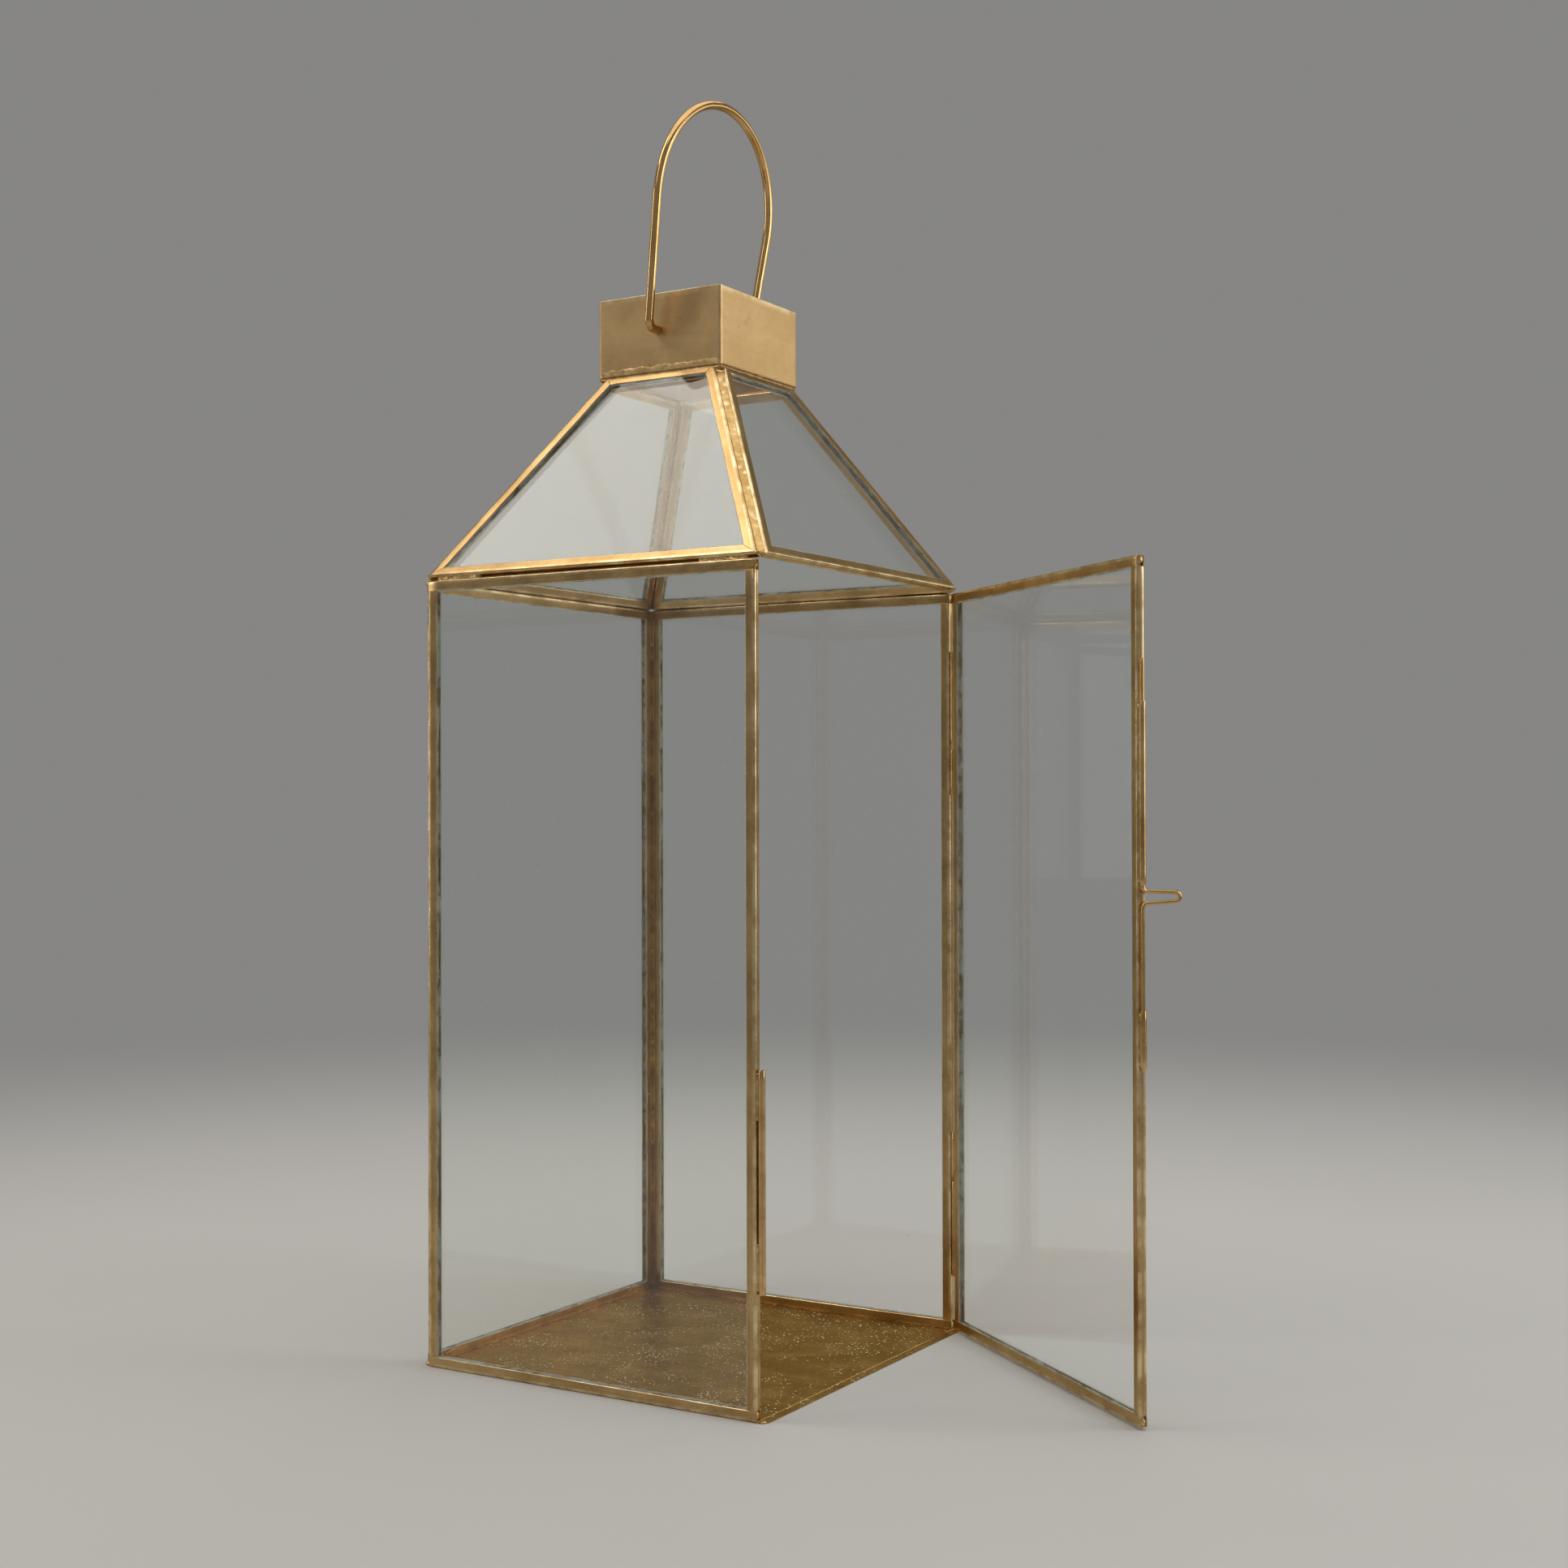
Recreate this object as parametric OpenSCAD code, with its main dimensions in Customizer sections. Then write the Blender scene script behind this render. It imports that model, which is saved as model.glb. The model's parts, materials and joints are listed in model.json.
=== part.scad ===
// Square brass-and-glass candle lantern: three fixed glass panels, a glazed door with a
// sliding wire bolt, a four-sided glass roof, an open neck and a wire carrying handle.
// Millimetres. Origin at the centre of the underside, +Z up, the door on the -Y side.
// Everything is drawn at rest: door part open, bolt raised, handle leaning to the front.

/* [Body] */
// Outside width and depth of the square body
body_w = 200; // [160:1:240]
// Height of the body, from its underside to the top of its rails
body_h = 390; // [340:1:460]
// Thickness of the base plate
plate_t = 0.8; // [0.6:0.1:1.2]

/* [Glass frames] */
// Thickness of the folded channel, from its outer to its inner flange
chan_t = 4.2; // [3.8:0.1:5]
// Depth of the folded channel, which is the width of metal seen face on
chan_d = 5.1; // [4.5:0.1:7]
// Thickness of the sheet that the channels and the neck are folded from
sheet_t = 0.7; // [0.5:0.1:0.9]
// Thickness of the glass panes
glass_t = 2.6; // [2:0.1:2.8]

/* [Roof] */
// Height of the roof, from its lower outer edge to its upper one
roof_rise = 103.6; // [80:0.1:130]
// Width across the roof's upper outer edges
roof_top_w = 71.2; // [62:0.1:76]

/* [Neck] */
// Outside width of the square neck
neck_w = 74; // [74:0.5:80]
// Height of the neck
neck_h = 39.2; // [34:0.1:50]
// Height of the handle's pivot above the neck's lower edge
pivot_up = 20.6; // [16:0.1:28]

/* [Handle] */
// Diameter of the handle's wire
handle_d = 4.4; // [3.6:0.1:4.8]
// Distance from the lantern's middle to the foot of each leg
leg_half = 46; // [44:0.1:50]
// Radius of the handle's arch
arch_r = 51.5; // [50:0.1:56]
// Height of the arch's centre above the pivot
arch_up = 68; // [56:0.5:80]
// Angle at which the handle stands, leaning over the door side
handle_lean = 8.4; // [0:0.1:15]

/* [Door] */
// Angle that the door stands open
door_open = 52; // [0:1:90]
// Gap between the closed door and the post faces
door_gap = 0.3; // [0.2:0.05:0.4]

/* [Hinges] */
// Outside diameter of the hinge tubes
knuckle_d = 3.2; // [3:0.1:3.4]
// Bore of the hinge tubes
knuckle_bore = 2; // [1.8:0.05:2.2]
// Length of each tube on the post
post_knuckle_l = 50; // [30:1:60]
// Length of each tube on the door
door_knuckle_l = 25.4; // [15:0.1:30]

/* [Bolt] */
// Diameter of the bolt's wire
bolt_d = 1.8; // [1.6:0.05:1.9]
// Travel of the bolt, from raised to fully dropped
bolt_travel = 45; // [30:1:45]
// Reach of the finger loop from the bolt's axis
loop_reach = 20; // [14:0.5:24]
// Outside diameter of the guide tubes on the door
guide_d = 3; // [2.8:0.1:3.2]
// Outside diameter of the keeper tube on the post
keeper_d = 3.4; // [3.2:0.1:3.6]
// Bore of the keeper tube
keeper_bore = 2.4; // [2.4:0.1:2.6]

/* [Hidden] */
$fn = 48;

// Body
half = body_w / 2;
end_y = half - chan_t;
ledge_gap = 0.1;
post_face = -(half - chan_t - door_gap - ledge_gap);
chamfer = 3;

// Glass
pane_play = 0.3;

// Roof: each panel leans in, and the lower inner edge rests on the body's top rails
roof_tilt = atan2((body_w - roof_top_w) / 2, roof_rise);
roof_slant = norm([(body_w - roof_top_w) / 2, roof_rise]);
roof_z = body_h + chan_t * sin(roof_tilt);
roof_low_half = half - chan_t * cos(roof_tilt);
roof_high_half = roof_low_half - roof_slant * sin(roof_tilt);
roof_outline = [
    [-roof_low_half, 0],
    [roof_low_half, 0],
    [roof_high_half, roof_slant],
    [-roof_high_half, roof_slant]
];

// Neck
neck_tuck = 0.6;
neck_z = roof_z + roof_rise - neck_tuck;
neck_wall = 0.8;
pivot_z = neck_z + pivot_up;
pivot_clearance = 0.08;

// Handle
bend_d = handle_d - 0.1;
elbow_r = 5;
elbow_lap = 4;
arch_lap = 1;
stub_inside = 2.6;
elbow_centre = [leg_half - elbow_r, elbow_r];
arch_centre = [0, arch_up];
arch_to_elbow = elbow_centre - arch_centre;
// Each leg is the line that touches both the arch and the elbow, so it leans out a little
leg_lean = -acos((arch_r - elbow_r) / norm(arch_to_elbow))
    - atan2(arch_to_elbow[1], arch_to_elbow[0]);
leg_out = [cos(leg_lean), -sin(leg_lean)];
leg_foot = elbow_centre + elbow_r * leg_out;
leg_top = arch_centre + arch_r * leg_out;
stub_end = neck_w / 2 - neck_wall - stub_inside;

// Door and hinges: the hinge's axis stands just in front of the right post
hinge_x = half - 3.6;
hinge_y = post_face - door_gap - knuckle_d / 2;
door_right = hinge_x - knuckle_d / 2 - door_gap;
door_face = post_face - door_gap - chan_t;
door_bottom = plate_t + 0.4;
door_top = body_h - 0.4;
knuckle_gap = 0.3;
pin_clearance = 0.05;
upper_post_z = 309;
lower_post_z = 29;

// Bolt: its axis, the guides on the door and the keeper on the left post are in one line
bolt_x = -(half - 2.2);
bolt_y = hinge_y;
bolt_clearance = 0.1;
solder_film = 0.5;
door_left = bolt_x + guide_d / 2 + solder_film;
bolt_end_z = 159.3;
bolt_tip_z = 343.4;
upper_guide_z = 242.2;
upper_guide_l = 82;
lower_guide_z = 160.7;
keeper_z = 57.5;
keeper_l = 101;
loop_top_z = 239.6;
loop_half = 2.8;
loop_elbow = 1.8;
// The lower guide ends a little below the loop when the bolt is fully dropped
drop_gap = 1.8;
lower_guide_top = loop_top_z - 2 * loop_half - bolt_d / 2 - bolt_travel - drop_gap;
lower_guide_l = lower_guide_top - lower_guide_z;

// Solder
run_l = 22;
run_side = 3.4;
eave_run_l = 28;

SIDES = ["front", "right", "back", "left"];
WALLS = ["right", "back", "left"];
ROOF_PIECES = ["eave", "right_hip", "top_channel", "left_hip"];
FRAME_PIECES = ["bottom_rail", "right_stile", "top_rail", "left_stile"];

// ---- Outlines -----------------------------------------------------------------------

function cross_2d(a, b) = a[0] * b[1] - a[1] * b[0];

// Where the line from p along r meets the line from q along s
function meeting(p, r, q, s) = p + r * cross_2d(q - p, s) / cross_2d(r, s);

// Unit normal on the left of the way from a to b
function left_normal(a, b) = [a[1] - b[1], b[0] - a[0]] / norm(b - a);

// An anticlockwise outline, moved inwards by d on every side
function inset(outline, d) = [
    for (i = [0:len(outline) - 1])
        let (
            n = len(outline),
            before = outline[(i + n - 1) % n],
            here = outline[i],
            after = outline[(i + 1) % n]
        )
        meeting(
            before + d * left_normal(before, here), here - before,
            here + d * left_normal(here, after), after - here
        )
];

function rectangle(left, low, right, high) = [[left, low], [right, low], [right, high], [left, high]];

// ---- Panels -------------------------------------------------------------------------
// A panel lies in its own X-Y plane, with its outer face at Z = 0 and its inner face below

// Puts a panel on a side of the body: 0 is the front, then anticlockwise from above
module on_side(turn, distance, height, tilt) {
    rotate([0, 0, 90 * turn])
        translate([0, -distance, height])
            rotate([90 - tilt, 0, 0])
                children();
}

module slab(low, high) {
    translate([0, 0, low]) linear_extrude(high - low) children();
}

// A folded channel: a face outline, hollowed by a slot that is open on the glass side
module channel(face, slot) {
    difference() {
        slab(-chan_t, 0) polygon(face);
        slab(sheet_t - chan_t, -sheet_t) polygon(slot);
    }
}

// The frame of an upright panel: rails across the full width, stiles between them
module upright_channel(frame, i) {
    outside = 1;
    left = frame[0];
    low = frame[1];
    right = frame[2];
    high = frame[3];
    if (i == 0)
        channel(
            rectangle(left, low, right, low + chan_d),
            rectangle(left - outside, low + sheet_t, right + outside, low + chan_d + outside)
        );
    if (i == 1)
        channel(
            rectangle(right - chan_d, low + chan_d, right, high - chan_d),
            rectangle(right - chan_d - outside, low, right - sheet_t, high)
        );
    if (i == 2)
        channel(
            rectangle(left, high - chan_d, right, high),
            rectangle(left - outside, high - chan_d - outside, right + outside, high - sheet_t)
        );
    if (i == 3)
        channel(
            rectangle(left, low + chan_d, left + chan_d, high - chan_d),
            rectangle(left + sheet_t, low, left + chan_d + outside, high)
        );
}

// One mitred channel along side i of a closed outline
module mitred_channel(outline, i) {
    outside = 1;
    next = (i + 1) % len(outline);
    inner = inset(outline, chan_d);
    web = inset(outline, sheet_t);
    beyond = inset(outline, chan_d + outside);
    along = (outline[next] - outline[i]) / norm(outline[next] - outline[i]);
    channel(
        [outline[i], outline[next], inner[next], inner[i]],
        [
            web[i] - outside * along,
            web[next] + outside * along,
            beyond[next] + outside * along,
            beyond[i] - outside * along
        ]
    );
}

module pane(outline) {
    color("lightcyan", 0.35)
        slab(-(chan_t + glass_t) / 2, -(chan_t - glass_t) / 2)
            polygon(inset(outline, sheet_t + pane_play));
}

// ---- Body ---------------------------------------------------------------------------

// Left, low, right and high of each wall, seen from outside; the fronts end at the posts
function wall_frame(side) =
    side == "right" ? [post_face, 0, end_y, body_h] :
    side == "left" ? [-end_y, 0, -post_face, body_h] :
    [-end_y, 0, end_y, body_h];

module on_wall(side) {
    on_side(search([side], SIDES)[0], half, 0, 0) children();
}

module wall_glass(side) {
    frame = wall_frame(side);
    on_wall(side) pane(rectangle(frame[0], frame[1], frame[2], frame[3]));
}

module wall_channel(side, i) {
    color("darkgoldenrod") on_wall(side) upright_channel(wall_frame(side), i);
}

// The plate lies inside the rails and comes forward as a ledge under the door
module base_plate() {
    color("goldenrod")
        linear_extrude(plate_t)
            polygon([
                [-half + chamfer, -half],
                [half - chamfer, -half],
                [half, -half + chamfer],
                [half, post_face],
                [end_y, post_face],
                [end_y, end_y],
                [-end_y, end_y],
                [-end_y, post_face],
                [-half, post_face],
                [-half, -half + chamfer]
            ]);
}

// ---- Roof and neck ------------------------------------------------------------------

module on_roof(turn) {
    on_side(turn, half, roof_z, roof_tilt) children();
}

module neck() {
    color("goldenrod")
        difference() {
            translate([-neck_w / 2, -neck_w / 2, neck_z]) cube([neck_w, neck_w, neck_h]);
            translate([neck_wall - neck_w / 2, neck_wall - neck_w / 2, neck_z - 1])
                cube([neck_w - 2 * neck_wall, neck_w - 2 * neck_wall, neck_h + 2]);
            translate([-neck_w, 0, pivot_z])
                rotate([0, 90, 0])
                    cylinder(d = handle_d + 2 * pivot_clearance, h = 2 * neck_w);
        }
}

// ---- Handle -------------------------------------------------------------------------

// A wire bend of radius r through an angle, starting on the X axis, in the X-Y plane
module bend(r, angle, d) {
    rotate_extrude(angle = angle) translate([r, 0]) circle(d = d);
}

// Half of the handle's straight wire and one elbow, drawn flat with the pivot on the X axis and
// the arch towards +Y. The bends are a hair thinner, and run on a little into the straights.
module handle_half() {
    translate([stub_end, 0, 0])
        rotate([0, 90, 0])
            cylinder(d = handle_d, h = elbow_centre[0] - stub_end);
    translate([elbow_centre[0], elbow_centre[1], 0])
        rotate([0, 0, -90 - elbow_lap])
            bend(elbow_r, 90 - leg_lean + 2 * elbow_lap, bend_d);
    translate([leg_foot[0], leg_foot[1], 0])
        rotate([-90, 0, -leg_lean])
            cylinder(d = handle_d, h = norm(leg_top - leg_foot));
}

module handle() {
    color("goldenrod")
        translate([0, 0, pivot_z])
            rotate([90 + handle_lean, 0, 0]) {
                handle_half();
                mirror([1, 0, 0]) handle_half();
                translate([0, arch_up, 0])
                    rotate([0, 0, -leg_lean - arch_lap])
                        bend(arch_r, 180 + 2 * (leg_lean + arch_lap), bend_d);
            }
}

// ---- Door, hinges and bolt ----------------------------------------------------------

// Everything on the door is drawn closed, then turned about the hinge
module open_door() {
    translate([hinge_x, hinge_y, 0])
        rotate([0, 0, door_open])
            translate([-hinge_x, -hinge_y, 0])
                children();
}

module door_glass() {
    open_door()
        on_side(0, -door_face, 0, 0)
            pane(rectangle(door_left, door_bottom, door_right, door_top));
}

module door_channel(i) {
    color("darkgoldenrod")
        open_door()
            on_side(0, -door_face, 0, 0)
                upright_channel([door_left, door_bottom, door_right, door_top], i);
}

module tube(x, y, z, length, outside, bore) {
    color("goldenrod")
        translate([x, y, z])
            difference() {
                cylinder(d = outside, h = length);
                translate([0, 0, -1]) cylinder(d = bore, h = length + 2);
            }
}

// The upper door tube hangs below its post tube, the lower one stands on its post tube
upper_door_z = upper_post_z - knuckle_gap - door_knuckle_l;
lower_door_z = lower_post_z + post_knuckle_l + knuckle_gap;

module post_knuckle(z) {
    tube(hinge_x, hinge_y, z, post_knuckle_l, knuckle_d, knuckle_bore);
}

module door_knuckle(z) {
    tube(hinge_x, hinge_y, z, door_knuckle_l, knuckle_d, knuckle_bore);
}

module hinge_pin(low) {
    color("goldenrod")
        translate([hinge_x, hinge_y, low + 1])
            cylinder(
                d = knuckle_bore - 2 * pin_clearance,
                h = post_knuckle_l + knuckle_gap + door_knuckle_l - 2
            );
}

module bolt_guide(z, length) {
    open_door() tube(bolt_x, bolt_y, z, length, guide_d, bolt_d + 2 * bolt_clearance);
}

module keeper_tube() {
    tube(bolt_x, bolt_y, keeper_z, keeper_l, keeper_d, keeper_bore);
}

// A straight wire with a hairpin loop bent out of it, towards the front of the door
module latch_bolt() {
    leg_l = loop_reach - bolt_d / 2 - loop_half - loop_elbow;
    color("goldenrod")
        open_door()
            translate([bolt_x, bolt_y, loop_top_z - loop_half])
                rotate([90, 0, -90]) {
                    for (way = [0, 1])
                        mirror([0, way, 0]) {
                            translate([loop_elbow, loop_half + loop_elbow, 0])
                                rotate([0, 0, 180])
                                    bend(loop_elbow, 90, bolt_d);
                            translate([loop_elbow, loop_half, 0])
                                rotate([0, 90, 0])
                                    cylinder(d = bolt_d, h = leg_l);
                        }
                    translate([loop_elbow + leg_l, 0, 0])
                        rotate([0, 0, -90])
                            bend(loop_half, 180, bolt_d);
                    translate([0, loop_half + loop_elbow, 0])
                        rotate([-90, 0, 0])
                            cylinder(d = bolt_d, h = bolt_tip_z - loop_top_z - loop_elbow);
                    translate([0, -loop_half - loop_elbow, 0])
                        rotate([90, 0, 0])
                            cylinder(
                                d = bolt_d,
                                h = loop_top_z - 2 * loop_half - loop_elbow - bolt_end_z
                            );
                }
}

// ---- Solder -------------------------------------------------------------------------

// Runs in the square grooves of the two rear corners, at the top and the bottom
module corner_solder() {
    color("tan")
        for (side = [-1, 1])
            for (z = [1, body_h - 1 - run_l])
                translate([side * end_y, end_y, z])
                    linear_extrude(run_l)
                        polygon([[0, 0], [side * run_side, 0], [0, run_side]]);
}

// A point on the right-hand edge of roof panel `turn`: v up the slope, w out of its inner face
function hip_point(turn, v, w) =
    let (
        across = roof_low_half - v * sin(roof_tilt),
        out = half - v * sin(roof_tilt) - (chan_t - w) * cos(roof_tilt),
        up = roof_z + v * cos(roof_tilt) - (chan_t - w) * sin(roof_tilt)
    )
    [
        across * cos(90 * turn) + out * sin(90 * turn),
        across * sin(90 * turn) - out * cos(90 * turn),
        up
    ];

// The same point mirrored to the left-hand edge of the next panel
function next_hip_point(turn, v, w) =
    let (
        across = -(roof_low_half - v * sin(roof_tilt)),
        out = half - v * sin(roof_tilt) - (chan_t - w) * cos(roof_tilt),
        up = roof_z + v * cos(roof_tilt) - (chan_t - w) * sin(roof_tilt),
        angle = 90 * (turn + 1)
    )
    [
        across * cos(angle) + out * sin(angle),
        across * sin(angle) - out * cos(angle),
        up
    ];

// Three-cornered runs in the grooves along the hips, at the top and the bottom
module hip_solder() {
    depth = 3;
    color("tan")
        for (turn = [0:3])
            for (start = [1, roof_slant - run_l - 3])
                polyhedron(
                    points = [
                        for (v = [start, start + run_l])
                            each [
                                hip_point(turn, v, 0),
                                hip_point(turn, v, depth),
                                next_hip_point(turn, v, depth)
                            ]
                    ],
                    faces = [[0, 1, 2], [3, 5, 4], [0, 3, 4, 1], [1, 4, 5, 2], [2, 5, 3, 0]]
                );
}

// Wedges between the roof's lower edge and the top rails, at the ends of the three walls
module eave_solder() {
    inner = half - chan_t * cos(roof_tilt);
    outer = half - 0.4;
    rise = (outer - inner) * tan(roof_tilt);
    color("tan")
        for (turn = [1:3])
            for (start = [-roof_low_half + 6, roof_low_half - 6 - eave_run_l])
                rotate([0, 0, 90 * turn])
                    translate([start, 0, body_h])
                        rotate([90, 0, 90])
                            linear_extrude(eave_run_l)
                                polygon([[-inner, 0], [-outer, rise], [-outer, 0]]);
}

// A fillet where each side of the neck meets the roof's upper edge
module neck_solder() {
    wall = neck_w / 2;
    run = neck_w - 2;
    foot = wall + 1.2;
    tuck = wall - 0.7;
    slope = tan(90 - roof_tilt);
    color("tan")
        for (turn = [0:3])
            rotate([0, 0, 90 * turn])
                translate([-run / 2, 0, 0])
                    rotate([90, 0, 90])
                        linear_extrude(run)
                            polygon([
                                [-tuck, roof_z + (half - tuck) * slope],
                                [-tuck, neck_z],
                                [-wall, neck_z],
                                [-wall, neck_z + 2.2],
                                [-foot, roof_z + (half - foot) * slope]
                            ]);
}

// Solder between a tube and the flat face beside it
module tube_bed(x, y, low, high, d) {
    difference() {
        translate([low[0], low[1], low[2]])
            cube([high[0] - low[0], high[1] - low[1], high[2] - low[2]]);
        translate([x, y, low[2] - 1]) cylinder(d = d, h = high[2] - low[2] + 2);
    }
}

// Beds the hinge tubes on the right post and the keeper on the left post
module post_solder() {
    bed = post_face - door_gap - 0.4;
    color("tan") {
        for (z = [upper_post_z, lower_post_z])
            tube_bed(
                hinge_x, hinge_y,
                [end_y, bed, z + 1], [hinge_x + 1.2, post_face, z + post_knuckle_l - 1],
                knuckle_d
            );
        for (z = [keeper_z + 1, keeper_z + keeper_l - run_l - 1])
            tube_bed(
                bolt_x, bolt_y,
                [bolt_x - 1.2, bed, z], [bolt_x + 1.2, post_face, z + run_l],
                keeper_d
            );
    }
}

// Beds the hinge tubes on the door's right edge and the bolt guides on its left edge
module door_solder() {
    guide_bed = bolt_x + guide_d / 2 - 0.5;
    knuckle_bed = hinge_x - knuckle_d / 2 + 0.5;
    width = 1;
    color("tan")
        open_door() {
            for (z = [upper_door_z, lower_door_z])
                tube_bed(
                    hinge_x, hinge_y,
                    [door_right, hinge_y - width, z + 1],
                    [knuckle_bed, hinge_y + width, z + door_knuckle_l - 1],
                    knuckle_d
                );
            for (span = [[upper_guide_z, upper_guide_l], [lower_guide_z, lower_guide_l]])
                tube_bed(
                    bolt_x, bolt_y,
                    [guide_bed, bolt_y - width, span[0] + 1],
                    [door_left, bolt_y + width, span[0] + span[1] - 1],
                    guide_d
                );
        }
}

// ---- Nodes --------------------------------------------------------------------------

base_plate();
for (side = WALLS) {
    wall_glass(side);
    for (i = [0:3])
        wall_channel(side, i);
}
for (turn = [0:3]) {
    on_roof(turn) pane(roof_outline);
    for (i = [0:3])
        color("darkgoldenrod") on_roof(turn) mitred_channel(roof_outline, i);
}
neck();
handle();
door_glass();
for (i = [0:3])
    door_channel(i);
post_knuckle(upper_post_z);  // upper_post_knuckle
post_knuckle(lower_post_z);  // lower_post_knuckle
hinge_pin(upper_door_z);  // upper_hinge_pin
hinge_pin(lower_post_z);  // lower_hinge_pin
open_door() door_knuckle(upper_door_z);  // upper_door_knuckle
open_door() door_knuckle(lower_door_z);  // lower_door_knuckle
bolt_guide(upper_guide_z, upper_guide_l);  // upper_bolt_guide
bolt_guide(lower_guide_z, lower_guide_l);  // lower_bolt_guide
latch_bolt();
keeper_tube();
corner_solder();
hip_solder();
eave_solder();
neck_solder();
post_solder();
door_solder();
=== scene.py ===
"""Brass and clear glass candle lantern: the looks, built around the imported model.

Metres, in the model's own frame: door on the -Y side, hinge at +X, origin under the base.
Every piece is drawn at rest, with the door open, the bolt raised and the handle up.

The walls, the roof and the door are panels. A panel is drawn flat, with X along it, Y up it and
Z out of its outer face, and a matrix puts it in its place.
"""

import json
import math

import bmesh
import bpy
import numpy as np
from mathutils import Matrix, Vector, noise


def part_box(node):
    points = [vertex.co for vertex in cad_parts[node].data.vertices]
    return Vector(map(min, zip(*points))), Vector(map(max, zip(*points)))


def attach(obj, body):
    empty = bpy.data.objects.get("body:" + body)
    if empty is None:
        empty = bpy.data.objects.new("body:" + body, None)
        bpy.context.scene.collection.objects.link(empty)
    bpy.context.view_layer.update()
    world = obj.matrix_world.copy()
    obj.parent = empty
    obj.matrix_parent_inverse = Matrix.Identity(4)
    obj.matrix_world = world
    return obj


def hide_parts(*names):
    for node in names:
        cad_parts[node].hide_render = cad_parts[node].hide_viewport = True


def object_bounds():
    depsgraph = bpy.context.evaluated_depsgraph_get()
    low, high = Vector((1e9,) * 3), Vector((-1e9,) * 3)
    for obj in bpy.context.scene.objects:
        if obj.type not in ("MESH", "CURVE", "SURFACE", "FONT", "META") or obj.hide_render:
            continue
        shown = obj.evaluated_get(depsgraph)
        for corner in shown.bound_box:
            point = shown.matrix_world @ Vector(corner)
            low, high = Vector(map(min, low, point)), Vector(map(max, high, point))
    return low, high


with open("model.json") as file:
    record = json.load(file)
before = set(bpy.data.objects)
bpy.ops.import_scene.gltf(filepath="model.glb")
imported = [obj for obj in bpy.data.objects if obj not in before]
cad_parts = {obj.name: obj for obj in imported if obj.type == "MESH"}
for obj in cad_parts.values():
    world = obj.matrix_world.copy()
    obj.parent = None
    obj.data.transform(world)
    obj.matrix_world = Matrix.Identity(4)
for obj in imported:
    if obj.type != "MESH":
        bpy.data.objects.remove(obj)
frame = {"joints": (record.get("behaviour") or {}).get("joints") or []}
cad_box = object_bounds()

# ---- Sizes ----

MM = 0.001
X, Y, Z = 0, 1, 2
SHEET = 0.7 * MM
PLAY = 0.3 * MM
JOINTS = {joint["name"]: joint for joint in frame["joints"]}


def low(node, axis):
    """The lowest place that a CAD node reaches along an axis."""
    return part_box(node)[0][axis]


def high(node, axis):
    """The highest place that a CAD node reaches along an axis."""
    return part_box(node)[1][axis]


HALF = high("base_plate", X)
PLATE_T = high("base_plate", Z)
BODY_H = high("back_top_rail", Z)
# Channels are CHAN_T across the glass and CHAN_D deep
CHAN_T = high("back_top_rail", Y) - low("back_top_rail", Y)
CHAN_D = high("back_top_rail", Z) - low("back_top_rail", Z)
GLASS_T = high("back_glass", Y) - low("back_glass", Y)
END_Y = HALF - CHAN_T
POST_FACE = low("left_right_stile", Y)

# The roof's panels lean in by ROOF_TILT; their outer edges run from ROOF_LOW in to ROOF_HIGH
ROOF_LOW = high("roof_front_eave", X)
ROOF_HIGH = high("roof_front_top_channel", X)
ROOF_TILT = math.acos((HALF - ROOF_LOW) / CHAN_T)
ROOF_SLANT = (ROOF_LOW - ROOF_HIGH) / math.sin(ROOF_TILT)
ROOF_Z = BODY_H + CHAN_T * math.sin(ROOF_TILT)

NECK_HALF = high("neck", X)
NECK_LOW = low("neck", Z)
NECK_TOP = high("neck", Z)
NECK_WALL = 0.8 * MM
PIVOT_Z = JOINTS["handle_swing"]["pos_m"][2]

HINGE_X, HINGE_Y = JOINTS["door_hinge"]["pos_m"][:2]
DOOR_OPEN = -math.radians(JOINTS["door_hinge"]["range_deg"][0])
KNUCKLE_D = 3.2 * MM
DOOR_RIGHT = HINGE_X - KNUCKLE_D / 2 - PLAY
DOOR_FACE = POST_FACE - PLAY - CHAN_T
DOOR_LOW = low("door_bottom_rail", Z)
DOOR_TOP = high("door_top_rail", Z)

BOLT_X = -(HALF - 2.2 * MM)
BOLT_Y = HINGE_Y
GUIDE_D = 3.0 * MM
KEEPER_D = 3.4 * MM
DOOR_LEFT = BOLT_X + GUIDE_D / 2 + 0.5 * MM

# ---- Placing ----

UP = Vector((0, 0, 1))
STILL = Matrix.Identity(4)
HINGE = Matrix.Translation((HINGE_X, HINGE_Y, 0))
OPENED = HINGE @ Matrix.Rotation(DOOR_OPEN, 4, "Z") @ HINGE.inverted()


def quarter_turn(turn):
    """A turn about the lantern's axis: 0 front, 1 right, 2 back, 3 left."""
    return Matrix.Rotation(math.radians(90 * turn), 4, "Z")


def panel(turn, distance, height, tilt=0.0):
    """The place of a panel: how far out it is, how high it starts and how far it leans in."""
    lift = Matrix.Translation((0, -distance, height))
    return quarter_turn(turn) @ lift @ Matrix.Rotation(math.pi / 2 - tilt, 4, "X")


def roof_panel(turn):
    """The place of one side of the roof."""
    return panel(turn, HALF, ROOF_Z, ROOF_TILT)


# ---- Meshes ----


def wander(place, seed, scale):
    """Smooth noise from -1 to 1 along a line; scale is the size of its waves."""
    return noise.noise(Vector((place / scale, seed * 7.31, seed * 1.73)))


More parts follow.
